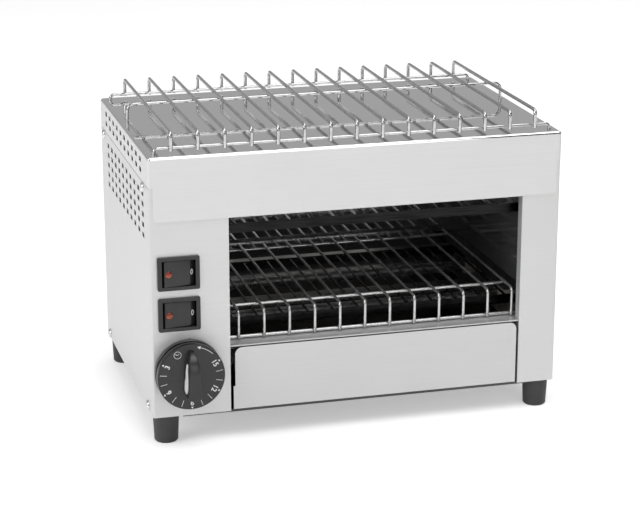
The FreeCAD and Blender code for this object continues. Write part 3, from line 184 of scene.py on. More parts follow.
def brushed(name, dark, light, gloss, level_gloss, grain_depth, metal=(1.0, 1.0)):
    """Rolled sheet with a satin grain. Each gloss is a lowest and a highest roughness.
    Metal is the share of pure metal in upright and in level faces."""
    material, tree, shader = finish_of(name, {"Metallic": metal[0]})
    sideways = noise(tree, own_place(tree, (ALONG_GRAIN, ACROSS_GRAIN, ACROSS_GRAIN)), 1.0, 3.0)
    lengthwise = noise(tree, own_place(tree, (ACROSS_GRAIN, ALONG_GRAIN, ACROSS_GRAIN)), 1.0, 3.0)
    grain = mix(tree, facing(tree, "X", 0.7), sideways, lengthwise)
    smudge = noise(tree, own_place(tree), 14.0, 4.0)
    mean = math(tree, "MULTIPLY", math(tree, "ADD", grain, smudge), 0.5)
    level = facing(tree, "Z", 0.15)
    fill(tree, shader, {
        "Base Color": colours(tree, mean, dark, light),
        "Roughness": mix(tree, level, between(tree, mean, *gloss), between(tree, mean, *level_gloss)),
        "Normal": bump(tree, grain, grain_depth),
    })
    if metal[0] != metal[1]:
        fill(tree, shader, {"Metallic": mix(tree, level, *metal)})
    return material


def outer_sheet(name, dark, light):
    """The satin sheet of the outside, between two levels of grey."""
    return brushed(name, grey(dark), grey(light), (0.4, 0.48), (0.04, 0.08), 1e-6, (0.45, 1.0))


outer_steel = outer_sheet("satin_cover_sheet", 0.68, 0.73)
# painted shade: the side panels and the drawer front are the cover's satin sheet in darker greys
painted_shade_panel_steel = outer_sheet("satin_panel_painted_shade_sheet", 0.64, 0.69)
painted_shade_drawer_steel = outer_sheet("satin_drawer_painted_shade_sheet", 0.6, 0.65)
inner_steel = brushed("bright_inner_sheet", grey(0.5), grey(0.58), (0.1, 0.18), (0.1, 0.18), 1e-6)
shelf_steel = brushed("worn_shelf_sheet", grey(0.5), grey(0.62), (0.3, 0.4), (0.25, 0.35), 2e-6, (0.5, 0.5))
# painted shade and light: the chamber's walls are one steel in three greys, darkest where the chamber lies in
# shade and palest on the lit right wall
painted_shade_mirror_steel = brushed("heat_tint_and_painted_shade_sheet", grey(0.17), grey(0.22), (0.02, 0.05), (0.02, 0.05), 5e-7)
painted_shade_smoked_steel = brushed("smoke_and_painted_shade_sheet", grey(0.3), grey(0.38), (0.03, 0.07), (0.03, 0.07), 5e-7, (0.85, 0.85))
painted_light_hazy_steel = brushed("hazy_painted_light_sheet", grey(0.34), grey(0.42), (0.03, 0.07), (0.03, 0.07), 5e-7, (0.7, 0.7))
# painted shade: the base plate and the rack rails are nearly black where they lie in shade
painted_shade_steel = brushed("painted_shade_underside_sheet", grey(0.05), grey(0.09), (0.3, 0.45), (0.3, 0.45), 2e-6)
sheets = (outer_steel, painted_shade_panel_steel, painted_shade_drawer_steel, inner_steel, shelf_steel, painted_shade_mirror_steel, painted_shade_smoked_steel,
          painted_light_hazy_steel, painted_shade_steel)
print("sheets:", ", ".join(sheet.name for sheet in sheets))

# %% [markdown]
# The sheet that toast crumbs burn onto is brown and dull in patches. A second, coarser noise spreads those
# patches over the chamber's floor and the drawer's tray, and the clean metal shows between them.

# %% Scorched sheet
def scorched(name, clean, burnt, gloss):
    """Sheet with patches of baked-on crumb dust."""
    material, tree, shader = finish_of(name, {"Metallic": 0.7})
    patches = noise(tree, own_place(tree), 45.0, 6.0)
    specks = noise(tree, own_place(tree), 700.0, 2.0)
    both = math(tree, "ADD", math(tree, "MULTIPLY", patches, 0.7), math(tree, "MULTIPLY", specks, 0.3))
    fill(tree, shader, {
        "Base Color": colours(tree, both, burnt, clean),
        "Roughness": between(tree, both, gloss[1], gloss[0]),
        "Normal": bump(tree, both, 2e-5),
    })
    return material


floor_steel = scorched("scorched_floor_sheet", (0.42, 0.41, 0.39, 1), (0.2, 0.19, 0.175, 1), (0.28, 0.42))
tray_steel = scorched("scorched_tray_sheet", (0.2, 0.195, 0.185, 1), (0.06, 0.055, 0.05, 1), (0.3, 0.45))
print("scorched:", floor_steel.name, tray_steel.name)

# %% [markdown]
# The guards over the heaters are strips that the heat has blackened, with bright wires from one to the
# other. Both are in one CAD node, and a strip's faces look forwards or back while a wire's never do, so the
# finish is mixed by which way the surface faces. The cut edges of a strip come out bright too, as they are.
# Crumbs fall on the lower guard and burn there, so its wires are nearly black.

# %% Guard
def guard_finish(name, dark_wire, light_wire):
    """Blackened strips, with wires and cut edges between two levels of grey."""
    material, tree, shader = finish_of(name, {"Metallic": 1.0})
    soot = noise(tree, own_place(tree, (40.0, 40.0, 400.0)), 1.0, 4.0)
    strip = facing(tree, "Y", 0.5)
    level = mix(tree, strip, between(tree, soot, dark_wire, light_wire), between(tree, soot, 0.01, 0.022))
    fill(tree, shader, {
        "Base Color": level,
        "Roughness": mix(tree, strip, between(tree, soot, 0.1, 0.2), between(tree, soot, 0.2, 0.35)),
        "Normal": bump(tree, soot, 4e-6),
    })
    return material


upper_guard_steel = guard_finish("burnt_guard", 0.45, 0.6)
lower_guard_steel = guard_finish("crumbed_guard", 0.05, 0.1)
print("guards:", upper_guard_steel.name, lower_guard_steel.name)

# %% [markdown]
# Drawn and polished wire has no grain to see, only a soft ripple from the die and a thin haze. The wires of
# the rack in the chamber have a film of burnt grease too, which scatters a part of their light.

# %% Wire and fasteners
def polished(name, dark, light, gloss, ripple, scale, metal=1.0):
    """Polished metal with a slight ripple. A share of metal below 1 has a film of grease or soot on it."""
    material, tree, shader = finish_of(name, {"Metallic": metal})
    haze = noise(tree, own_place(tree), scale)
    fill(tree, shader, {
        "Base Color": colours(tree, haze, dark, light),
        "Roughness": between(tree, haze, *gloss),
        "Normal": bump(tree, haze, ripple),
    })
    return material


rack_wire = polished("polished_rack_wire", grey(0.42), grey(0.54), (0.05, 0.12), 1e-5, 300.0)
bread_wire = polished("greasy_rack_wire", grey(0.46), grey(0.58), (0.07, 0.15), 1e-5, 300.0, 0.75)
fastener = polished("bright_zinc", (0.6, 0.61, 0.63, 1), (0.72, 0.72, 0.73, 1), (0.14, 0.26), 1e-5, 900.0)
coil_wire = polished("dark_coil_wire", (0.12, 0.1, 0.09, 1), (0.3, 0.26, 0.23, 1), (0.35, 0.55), 1e-5, 1500.0)
brass = polished("plain_brass", (0.68, 0.5, 0.22, 1), (0.8, 0.62, 0.3, 1), (0.2, 0.35), 1e-5, 900.0)
metals = (rack_wire, bread_wire, fastener, coil_wire, brass)
print("metals:", ", ".join(metal.name for metal in metals))

# %% [markdown]
# Moulded plastic has a fine spark-eroded texture, about a fifth of a millimetre across, that breaks up its
# gloss. Rubber has a coarser skin with a dusty bloom, and ceramic a chalky grain. One recipe serves them all,
# because they differ only in colour, gloss and the size of the texture.

# %% Moulded finishes
def moulded(name, dark, light, gloss, grain_size, grain_depth, values=None):
    """Plastic, rubber or ceramic with a fine texture. grain_size is in metres."""
    material, tree, shader = finish_of(name, values or {})
    skin = noise(tree, own_place(tree), 1.0 / grain_size, 3.0)
    bloom = noise(tree, own_place(tree), 60.0, 3.0)
    fill(tree, shader, {
        "Base Color": colours(tree, bloom, dark, light),
        "Roughness": between(tree, skin, *gloss),
        "Normal": bump(tree, skin, grain_depth),
    })
    return material


black_plastic = moulded("moulded_black", grey(0.013), grey(0.018), (0.25, 0.36), 2e-4, 4e-6)
white_plastic = moulded("moulded_white", grey(0.8), grey(0.88), (0.35, 0.5), 2e-4, 3e-6)
rubber = moulded("black_rubber", grey(0.03), grey(0.045), (0.5, 0.68), 4e-4, 1e-5)
ceramic = moulded("steatite", (0.74, 0.7, 0.62, 1), (0.84, 0.8, 0.73, 1), (0.55, 0.75), 3e-4, 8e-6)
silicone = moulded("silicone_cover", grey(0.6), grey(0.7), (0.45, 0.6), 5e-4, 5e-6)
print("moulded:", black_plastic.name, white_plastic.name, rubber.name, ceramic.name, silicone.name)

# %% [markdown]
# The round lamp windows are clear amber plastic. Light that enters such a dome from above gathers in its
# lower half, so it is a deep red on top and a bright orange below, and that glow is painted into the colour:
# it is mixed by how far the surface looks up or down, with a little cloudiness from the mould.

# %% Amber window
def amber_window():
    """Clear amber plastic, with a painted glow: deep above and bright below."""
    material, tree, shader = finish_of("amber_window", {"Transmission Weight": 0.2})
    upwards = add(tree, "SeparateXYZ", {"Vector": add(tree, "TexCoord").outputs["Normal"]}).outputs["Z"]
    cloud = noise(tree, own_place(tree), 2500.0)
    # painted glow: the colour is paler where the dome faces down and deeper where it faces up
    painted_glow_share = math(tree, "SUBTRACT", math(tree, "MULTIPLY", cloud, 0.3), math(tree, "MULTIPLY", upwards, 0.6))
    glow = math(tree, "ADD", painted_glow_share, 0.3)
    fill(tree, shader, {
        "Base Color": colours(tree, glow, (0.22, 0.014, 0.006, 1), (0.6, 0.125, 0.024, 1)),
        "Roughness": between(tree, cloud, 0.1, 0.2),
        "Normal": bump(tree, cloud, 5e-6),
    })
    return material


amber = amber_window()
print("window:", amber.name)

# %% [markdown]
# The heater tubes are satin quartz: clear glass with a milky drawn skin, so the coil inside is only a shade.
# Full transmission with a high, uneven roughness gives that look without a second layer.

# %% Quartz
def quartz_glass():
    """Satin quartz, milky along its length."""
    material, tree, shader = finish_of("satin_quartz", {"Transmission Weight": 1.0, "IOR": 1.46})
    haze = noise(tree, own_place(tree, (20.0, 300.0, 300.0)), 1.0)
    fill(tree, shader, {
        "Base Color": colours(tree, haze, grey(0.82), grey(0.95)),
        "Roughness": between(tree, haze, 0.15, 0.4),
        "Normal": bump(tree, haze, 1e-5),
    })
    return material


quartz = quartz_glass()
print("glass:", quartz.name)

# %% [markdown]
# The finishes go onto the CAD nodes by the slot that each node has in the record, so no node is missed. A few
# sheets of the same steel have aged differently, and some carry painted shade and light in their greys; those
# are dressed after it, by name.

# %% Dress the CAD nodes
finish_for = {
    "outer_steel": outer_steel,
    "inner_steel": inner_steel,
    "rack_wire": rack_wire,
    "fastener_steel": fastener,
    "black_plastic": black_plastic,
    "white_plastic": white_plastic,
    "amber_lens": amber,
    "quartz": quartz,
    "ceramic": ceramic,
    "resistance_wire": coil_wire,
    "rubber": rubber,
    "brass": brass,
    "lead_cover": silicone,
}
for subpart in frame["record"]["subparts"]:
    for held in nodes[subpart["node"]].material_slots:
        held.material = finish_for[subpart["material_slot"]]
aged_and_painted_light = {
    painted_shade_mirror_steel: ("chamber_left_wall", "chamber_roof"),
    painted_shade_smoked_steel: ("chamber_back_wall",),
    painted_light_hazy_steel: ("chamber_right_wall",),
    floor_steel: ("chamber_floor",),
    tray_steel: ("drawer_tray", "drawer_runners"),
    shelf_steel: ("rack_shelf",),
    upper_guard_steel: ("upper_guard",),
    lower_guard_steel: ("lower_guard",),
    painted_shade_steel: ("base_plate", "rack_rails"),
    bread_wire: ("inner_rack",),
    painted_shade_panel_steel: ("left_side_panel", "right_side_panel"),
    painted_shade_drawer_steel: ("drawer_front",),
}
for finish, names in aged_and_painted_light.items():
    for name in names:
        nodes[name].material_slots[0].material = finish

# %% [markdown]
# The pieces below are modelled as by hand: a primitive, then edit mode. An operator works on all that is
# selected, so nothing may be selected by chance. One helper clears the selection, one picks the vertices,
# edges or faces that an edit is meant for, by their place or their normal, and one puts the piece in its
# place with the place in its mesh, as the CAD nodes have theirs.

# %% Helpers for modelling
SMOOTH_BELOW = radians(32)


def only(*pieces):
    """Leaves just these pieces selected, the first of them active."""
    bpy.ops.object.select_all(action="DESELECT")
    for piece in pieces:
        piece.select_set(True)
    if pieces:
        bpy.context.view_layer.objects.active = pieces[0]


def pick(kind, wanted):
    """In edit mode, selects just the verts, edges or faces that are wanted."""
    bpy.ops.mesh.select_mode(type={"verts": "VERT", "edges": "EDGE", "faces": "FACE"}[kind])
    bpy.ops.mesh.select_all(action="DESELECT")
    mesh = bmesh.from_edit_mesh(bpy.context.object.data)
    for element in getattr(mesh, kind):
        if wanted(element):
            element.select_set(True)
    mesh.select_flush_mode()
    bmesh.update_edit_mesh(bpy.context.object.data)


def settle(piece, place):
    """Moves a piece by a matrix and keeps the move in its mesh."""
    only(piece)
    piece.matrix_world = place
    bpy.ops.object.transform_apply(location=True, rotation=True, scale=True)
    return piece


def copied(piece, place):
    """A copy of a piece, with its own mesh, put in its place."""
    only(piece)
    bpy.ops.object.duplicate()
    return settle(bpy.context.object, place)


def joined(pieces):
    """Several pieces as one."""
    only(*pieces)
    bpy.ops.object.join()
    return pieces[0]


def carved(piece, cutter):
    """Takes the cutter's space out of a piece. Both are closed, as the manifold solver needs."""
    modifier = piece.modifiers.new("carve", "BOOLEAN")
    modifier.object = cutter
    modifier.solver = "MANIFOLD"
    only(piece)
    bpy.ops.object.modifier_apply(modifier=modifier.name)
    bpy.data.objects.remove(cutter)
    return piece


def hand_over(piece, name, material, body, slot, *replaced):
    """Names a finished piece, smooths and dresses it, and lets it ride on its body."""
    only(piece)
    bpy.ops.object.shade_smooth_by_angle(angle=SMOOTH_BELOW)
    piece.name = piece.data.name = name
    piece.data.materials.clear()
    piece.data.materials.append(material)
    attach(piece, body)
    if replaced:
        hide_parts(*replaced)
    print(name, "has", len(piece.data.polygons), "faces")


def middle_of(name):
    """The middle of a CAD node's box."""
    low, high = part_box(name)
    return (Vector(low) + Vector(high)) / 2

# %% [markdown]
# A knob, a screw head and a lamp window are round, so they are turned as on a lathe: one vertex is extruded
# along half of the outline, and the outline is spun round the upright axis. Points that lie on the axis fall
# together there, so doubles are merged afterwards, and then the normals are made to point outwards.

# %% Turning
def one_vertex(place):
    """A new mesh in edit mode that is a single vertex, at a place in millimetres."""
    only()
    bpy.ops.mesh.primitive_plane_add(size=MM)
    bpy.ops.object.mode_set(mode="EDIT")
    bpy.ops.mesh.select_mode(type="VERT")
    bpy.ops.mesh.merge(type="CENTER")
    bpy.ops.transform.translate(value=[part * MM for part in place])


def drawn(points, upright):
    """Draws a line of edges from vertex to vertex. The second number goes up, or else to the back."""
    places = [(across, 0.0, up) if upright else (across, up, 0.0) for across, up in points]
    one_vertex(places[0])
    for here, there in zip(places, places[1:]):
        step = [(end - start) * MM for start, end in zip(here, there)]
        bpy.ops.mesh.extrude_vertices_move(TRANSFORM_OT_translate={"value": step})
    bpy.ops.mesh.select_all(action="SELECT")


def closed_up():
    """Merges doubles, turns the normals outwards and leaves edit mode."""
    bpy.ops.mesh.select_all(action="SELECT")
    bpy.ops.mesh.remove_doubles(threshold=1e-6)
    bpy.ops.mesh.normals_make_consistent(inside=False)
    bpy.ops.object.mode_set(mode="OBJECT")
    return bpy.context.object


def turned(profile, steps):
    """A round piece from half its outline: (radius, height) in millimetres, about the upright axis."""
    drawn(profile, upright=True)
    bpy.ops.mesh.spin(steps=steps, angle=2 * pi, center=(0, 0, 0), axis=(0, 0, 1))
    return closed_up()

# %% [markdown]
# Flat shapes, such as the pointer and the printed marks, are drawn as an outline of vertices, filled with one
# face, and extruded to their thickness. Rounding the outline's corners before it is filled gives a soft
# shape from a few points.

# %% Plates
def plate(outline, thickness, rounding=0.0):
    """A flat piece from its outline in millimetres, lying on the ground plane."""
    drawn(outline, upright=False)
    bpy.ops.mesh.edge_face_add()
    if rounding:
        bpy.ops.mesh.bevel(offset=rounding * MM, segments=3, affect="VERTICES")
        bpy.ops.mesh.select_all(action="SELECT")
    bpy.ops.mesh.extrude_region_move(TRANSFORM_OT_translate={"value": (0, 0, thickness * MM)})
    return closed_up()

# %% [markdown]
# The timer knob is a disc with a flange at its foot, a dark groove above the flange and a rounded rim. It is
# hollow behind, where it covers the screws of the clockwork. It is modelled lying on its back, with its axis
# upright, and stood up against the column at the end.

# %% Knob disc
KNOB_DISC = [(0, 11.5), (3.05, 11.5), (3.05, 1), (6.5, 1), (6.5, 11.5), (23, 11.5), (23, 3.2), (25.5, 3.2),
             (25.5, 0), (27.6, 0), (28, 0.5), (28, 3.7), (27.6, 4.2), (24.2, 4.3), (24.2, 7.6), (27.6, 7.7),
             (27.95, 8.2), (28, 13.4), (27.8, 13.8), (27.5, 13.97), (27.2, 14), (0, 14)]
FACE = 14.0

knob_axis = middle_of("timer_knob")
knob_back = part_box("timer_knob")[1][1]
stood_up = Matrix.Translation((knob_axis.x, knob_back, knob_axis.z)) @ Matrix.Rotation(radians(90), 4, "X")
disc = turned(KNOB_DISC, steps=96)
print("disc of", len(disc.data.vertices), "vertices, back at", round(knob_back / MM, 2), "mm")

# %% [markdown]
# The grip is a ridge across the disc. It is straight and upright in its lower half, and from there it narrows
# and curves down to a rounded tip. A block is cut into slices with bisect, and then each slice is narrowed
# and lowered on its own: that is easier to steer than a sculpted shape, because every row below is one slice,
# with its place up the dial, half its width and its height. The sides lean in towards the front, as they must
# for the mould to open.

# %% Knob grip
GRIP_SLICES = [(-15.5, 6.5, 15.0), (-6.0, 6.0, 15.0), (4.5, 5.5, 15.0), (8.0, 5.3, 14.75), (11.0, 5.15, 14.1),
               (13.5, 4.95, 13.2), (15.5, 4.6, 12.3), (17.5, 4.1, 10.95), (19.3, 3.5, 9.4), (20.8, 2.9, 7.6),
               (22.0, 2.3, 5.5), (22.8, 1.7, 3.0), (23.2, 1.0, 1.0)]
GRIP_ROOT = 0.5
GRIP_CORNER = 2.3
GRIP_EDGE = 0.55
GRIP_SHARP = radians(48)
DRAFT = 0.07


def block(low, high):
    """A cube between two corners in millimetres, left in edit mode with all of it selected."""
    only()
    size = [(b - a) * MM for a, b in zip(low, high)]
    middle = [(a + b) / 2 * MM for a, b in zip(low, high)]
    bpy.ops.mesh.primitive_cube_add(size=1.0, location=middle, scale=size)
    bpy.ops.object.transform_apply(location=True, rotation=True, scale=True)
    bpy.ops.object.mode_set(mode="EDIT")
    bpy.ops.mesh.select_all(action="SELECT")


def at(value, place):
    """True where a coordinate in metres is at a place in millimetres."""
    return abs(value - place * MM) < 1e-6


grip_end, widest, tallest = GRIP_SLICES[0]
grip_tip = GRIP_SLICES[-1][0]
top = FACE + tallest
block((-widest, grip_end, FACE - GRIP_ROOT), (widest, grip_tip, top))
for up, half, height in GRIP_SLICES[1:-1]:
    bpy.ops.mesh.select_all(action="SELECT")
    bpy.ops.mesh.bisect(plane_co=(0, up * MM, 0), plane_no=(0, 1, 0))
for up, half, height in GRIP_SLICES:
    pick("verts", lambda vert: at(vert.co.y, up))
    bpy.ops.transform.resize(value=(half / widest, 1, 1), center_override=(0, up * MM, 0))
    pick("verts", lambda vert: at(vert.co.y, up) and at(vert.co.z, top))
    bpy.ops.transform.resize(value=((half - DRAFT * height) / half, 1, 1), center_override=(0, up * MM, 0))
    bpy.ops.transform.translate(value=(0, 0, (height + FACE - top) * MM))
pick("edges", lambda edge: all(at(vert.co.y, grip_end) for vert in edge.verts)
     and abs(edge.verts[0].co.z - edge.verts[1].co.z) > MM)
bpy.ops.mesh.bevel(offset=GRIP_CORNER * MM, segments=5)
pick("edges", lambda edge: len(edge.link_faces) == 2 and edge.calc_face_angle() > GRIP_SHARP
     and min(vert.co.z for vert in edge.verts) > FACE * MM)
bpy.ops.mesh.bevel(offset=GRIP_EDGE * MM, segments=3)
grip = closed_up()
print("grip of", len(grip.data.polygons), "faces")

# %% [markdown]
# A white pointer lies in a dark recess in the grip's left flank. Its shape is a leaf, broad below and narrow
# above, so it is drawn flat and turned into the plane of the flank, which leans and narrows with the grip.
# The recess is the same leaf, a little larger, carved out of the grip.

# %% Knob pointer
LEAF = [(-13, 6), (-11.3, 0.7), (-3.5, 0.6), (-1.6, 2.1), (4.7, 2.1), (11.3, 3.6), (13, 6), (12.3, 7.4),
        (6.2, 7.7), (0.6, 9.4), (-5.3, 10), (-8.6, 9.7), (-12.3, 7.5)]
LEAF_UP = 1.3
LEAF_MIDDLE = 5
LEAF_ROUNDING = 0.9
POINTER_WALL = 0.8
RECESS_WALL = 1.2
RECESS_DEPTH = 0.4
LONGER, WIDER = 1.06, 1.16
FLANK_OUT = 5.87
FLANK_LIFT = 1.0
FLANK_IN, FLANK_RUN = 1.4, 25.0
narrowing = atan(FLANK_IN / FLANK_RUN)
on_end = Matrix.Rotation(radians(90), 4, "Z") @ Matrix.Rotation(radians(90), 4, "X")
flank = (Matrix.Translation((-FLANK_OUT * MM, 0, (FACE + FLANK_LIFT) * MM))
         @ Matrix.Rotation(-narrowing, 4, "Z") @ Matrix.Rotation(atan(DRAFT), 4, "Y")
         @ Matrix.Translation((0, LEAF_UP * MM, 0)) @ on_end)
larger_leaf = [(along * LONGER, (up - LEAF_MIDDLE) * WIDER + LEAF_MIDDLE) for along, up in LEAF]
recess = plate(larger_leaf, RECESS_WALL, LEAF_ROUNDING)
settle(recess, flank @ Matrix.Translation((0, 0, -RECESS_DEPTH * MM)))
knob = joined([disc, carved(grip, recess)])
pointer = plate(LEAF, POINTER_WALL, LEAF_ROUNDING)
settle(pointer, stood_up @ flank)
settle(knob, stood_up)
hand_over(knob, "dial_disc_and_grip", black_plastic, "timer_dial", "black_plastic", "timer_knob")
hand_over(pointer, "dial_pointer", white_plastic, "timer_dial", "white_plastic", "timer_pointer")

# %% [markdown]
# The dial is printed in white. Every third minute from 3 to 15 has its number, with its top outwards, and a
# small triangle at the rim, and the minutes between them have a tick. There are also a clock face and an
# arrow that shows which way to turn. Numbers come from text objects, made mesh before they are placed. The
# rest are thin plates. All the marks are then joined, as one print.

# %% Dial print
FIRST_MINUTE, LAST_MINUTE = 3, 15
FIRST_TURN, MINUTE_TURN = 152.6, 19.63
INK = 0.06
PRINT_UP = FACE - 0.02
BOLDER = 0.13
NUMBER_SIZE = 6.1
NUMBER_RADIUS, TICK_RADIUS, TRIANGLE_RADIUS = 22.0, 23.4, 26.4
TICK_HALF, TICK_LENGTH = 0.19, 5.6
TRIANGLE = [(-1.15, -0.8), (1.15, -0.8), (0, 0.8)]
prints = []


def on_dial(radius, turn):
    """A place on the dial's face, turned with its up side outwards. turn is in degrees from the right."""
    return Matrix.Rotation(radians(turn - 90), 4, "Z") @ Matrix.Translation((0, radius * MM, PRINT_UP * MM))


def stroke(half_width, low, high):
    """The outline of a straight upright line."""
    return [(-half_width, low), (half_width, low), (half_width, high), (-half_width, high)]


def printed_text(words, size):
    """Flat letters of a size in millimetres, centred on the origin."""
    only()
    bpy.ops.object.text_add()
    text = bpy.context.object
    text.data.body = words
    text.data.size = size * MM
    text.data.align_x = "CENTER"
    text.data.align_y = "CENTER"
    text.data.offset = BOLDER * MM
    text.data.extrude = INK / 2 * MM
    bpy.ops.object.convert(target="MESH")
    return bpy.context.object


for minute in range(FIRST_MINUTE, LAST_MINUTE + 1):
    turn = FIRST_TURN + (minute - FIRST_MINUTE) * MINUTE_TURN
    if minute % 3:
        prints.append(settle(plate(stroke(TICK_HALF, -TICK_LENGTH / 2, TICK_LENGTH / 2), INK),
                             on_dial(TICK_RADIUS, turn)))
    else:
        prints.append(settle(printed_text(str(minute), NUMBER_SIZE), on_dial(NUMBER_RADIUS, turn)))
        prints.append(settle(plate(TRIANGLE, INK), on_dial(TRIANGLE_RADIUS, turn)))
print(len(prints), "marks so far")

# %% [markdown]
# A ring and an arc are bands between two radii. The ring is turned on the lathe. The arc of the arrow is one
# short edge spun through less than a full turn and then thickened.

# %% Dial arrow and clock
CLOCK_RADIUS, CLOCK_TURN = 22.7, 119.5
CLOCK_RING = [(2.8, 0), (3.15, 0), (3.15, INK), (2.8, INK), (2.8, 0)]
HANDS = {35.0: 2.3, -75.0: 1.7}
HAND_HALF = 0.18
ARROW_INNER, ARROW_OUTER = 25.6, 26.0
ARROW_START, ARROW_END = 46, 74
ARROW_HEAD = [(-1.4, 0), (1.4, 1.4), (1.4, -1.4)]
HEAD_PLACE = (25.8, 75.6)


def band(inner, outer, start, end, steps):
    """A flat arc between two radii in millimetres and two angles in degrees. Spin turns it clockwise."""
    drawn([(inner, 0), (outer, 0)], upright=False)
    bpy.ops.mesh.spin(steps=steps, angle=radians(end - start), center=(0, 0, 0), axis=(0, 0, 1))
    bpy.ops.mesh.select_all(action="SELECT")
    bpy.ops.mesh.extrude_region_move(TRANSFORM_OT_translate={"value": (0, 0, INK * MM)})
    return settle(closed_up(), Matrix.Rotation(radians(end), 4, "Z"))


clock = on_dial(CLOCK_RADIUS, CLOCK_TURN)
prints.append(settle(turned(CLOCK_RING, steps=40), clock))
for turn, length in HANDS.items():
    hand = plate(stroke(HAND_HALF, 0, length), INK)
    prints.append(settle(hand, clock @ Matrix.Rotation(radians(turn), 4, "Z")))
arc = band(ARROW_INNER, ARROW_OUTER, ARROW_START, ARROW_END, steps=12)
prints.append(settle(arc, Matrix.Translation((0, 0, PRINT_UP * MM))))
prints.append(settle(plate(ARROW_HEAD, INK), on_dial(*HEAD_PLACE)))
marks = settle(joined(prints), stood_up)
hand_over(marks, "dial_print", white_plastic, "timer_dial", "white_plastic")

# %% [markdown]
# Each switch has a rocker that sits askew in its frame: its left end is flush with the frame, and its right
# end is sunk and bevelled, with a white 0 on the bevel. The block is sliced once, where the bevel begins, its
# far edge is pushed in, and all the sharp edges are softened. It is modelled lying on its back round its
# pivot, and turned with the rocker's tilt as it is stood up.

# %% Rocker
ROCKER_HALF = 13.0
ROCKER_HALF_HEIGHT = 10.65
ROCKER_FRONT = 6.5
ROCKER_BACK = -1.0
PIN_THICK, PIN_LENGTH = 3.0, 22.7
PIN_END_RING = 0.3
ROCKER_EDGE = 0.45
ROCKER_SHARP = radians(20)
FOLD = 8.2
SUNK = 2.0
TILT = radians(7)
fold_slope = atan(SUNK / (ROCKER_HALF - FOLD))


def rocker():
    """One rocker on its pivot pin."""
    block((-ROCKER_HALF, -ROCKER_HALF_HEIGHT, ROCKER_BACK), (ROCKER_HALF, ROCKER_HALF_HEIGHT, ROCKER_FRONT))
    bpy.ops.mesh.bisect(plane_co=(FOLD * MM, 0, 0), plane_no=(1, 0, 0))
    pick("verts", lambda vert: at(vert.co.x, ROCKER_HALF) and at(vert.co.z, ROCKER_FRONT))
    bpy.ops.transform.translate(value=(0, 0, -SUNK * MM))
    pick("edges", lambda edge: edge.calc_face_angle() > ROCKER_SHARP
         and min(vert.co.z for vert in edge.verts) > 0)
    bpy.ops.mesh.bevel(offset=ROCKER_EDGE * MM, segments=3)
    key = closed_up()
    only()
    bpy.ops.mesh.primitive_cylinder_add(vertices=24, radius=PIN_THICK / 2 * MM, depth=PIN_LENGTH * MM,
                                        rotation=(pi / 2, 0, 0))
    pin = bpy.context.object
    bpy.ops.object.transform_apply(location=True, rotation=True, scale=True)
    bpy.ops.object.mode_set(mode="EDIT")
    pick("faces", lambda face: abs(face.normal.y) > 0.9)
    bpy.ops.mesh.inset(thickness=PIN_END_RING * MM)
    bpy.ops.object.mode_set(mode="OBJECT")
    return joined([key, pin])


print("the bevel falls", SUNK, "mm over", round(ROCKER_HALF - FOLD, 2), "mm")

# %% [markdown]
# The round lamp window is a shallow dome with a narrow ledge round its foot, and a black collar holds it.
# Both are turned. The digit is a text, narrowed as on the switch, and lies on the bevel.

# %% Fit both switches
WINDOW = [(0, -1.6), (2.8, -1.6), (2.85, 0.15), (2.6, 0.4), (2.35, 0.45), (2.1, 0.62), (1.45, 0.85),
          (0.7, 0.95), (0, 0.97)]
COLLAR = [(2.8, -0.5), (3.3, -0.5), (3.3, 0.12), (3.15, 0.22), (2.95, 0.22), (2.8, 0.1), (2.8, -0.5)]
WINDOW_ACROSS = -9.3
DIGIT_ACROSS = 10.4
DIGIT_SIZE = 6.4
NARROWED = 0.85
BEZEL_OUT, PIVOT_IN = 2.4, 4.5
for level in ("upper", "lower"):
    body = level + "_rocker"
    bezel_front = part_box(level + "_switch_body")[0][1]
    centre = middle_of(level + "_switch_body")
    pivot = Vector((centre.x, bezel_front + (BEZEL_OUT + PIVOT_IN) * MM, centre.z))
    seat = Matrix.Translation(pivot) @ Matrix.Rotation(TILT, 4, "Z") @ Matrix.Rotation(radians(90), 4, "X")
    window_seat = seat @ Matrix.Translation((WINDOW_ACROSS * MM, 0, ROCKER_FRONT * MM))
    key = settle(rocker(), seat)
    collar = settle(turned(COLLAR, steps=32), window_seat)
    key = joined([key, collar])
    window = settle(turned(WINDOW, steps=32), window_seat)
    digit_up = ROCKER_FRONT - (DIGIT_ACROSS - FOLD) * SUNK / (ROCKER_HALF - FOLD)
    digit_seat = seat @ Matrix.Translation((DIGIT_ACROSS * MM, 0, digit_up * MM))
    digit = settle(printed_text("0", DIGIT_SIZE), digit_seat @ Matrix.Rotation(fold_slope, 4, "Y")
                   @ Matrix.Diagonal((NARROWED, 1, 1, 1)))
    hand_over(key, level + "_key", black_plastic, body, "black_plastic", level + "_switch_rocker")
    hand_over(window, level + "_window", amber, body, "amber_lens", level + "_switch_lens")
    hand_over(digit, level + "_digit", white_plastic, body, "white_plastic")

# %% [markdown]
# The panels are held by pan-head screws with a cross recess. One screw is turned, and a tapered cross is
# carved into its head: a small block whose four sides are pulled out as arms. It is then copied to the
# places of the CAD screws, which are the corners of their node's box, and on the back a row between them.

# %% Screws
SCREW = [(0, -1.6), (1.75, -1.6), (1.75, 0), (4.1, 0), (4.2, 0.25), (4.05, 0.9), (3.5, 1.65), (2.6, 2.15),
         (1.4, 2.37), (0, 2.4)]
HEAD_RADIUS = 4.2
HEAD_HEIGHT = 2.4
CROSS_HALF = 0.45
CROSS_ARM = 1.75
CROSS_FLOOR, CROSS_TOP = 0.9, 3.0
CROSS_TAPER = 0.35


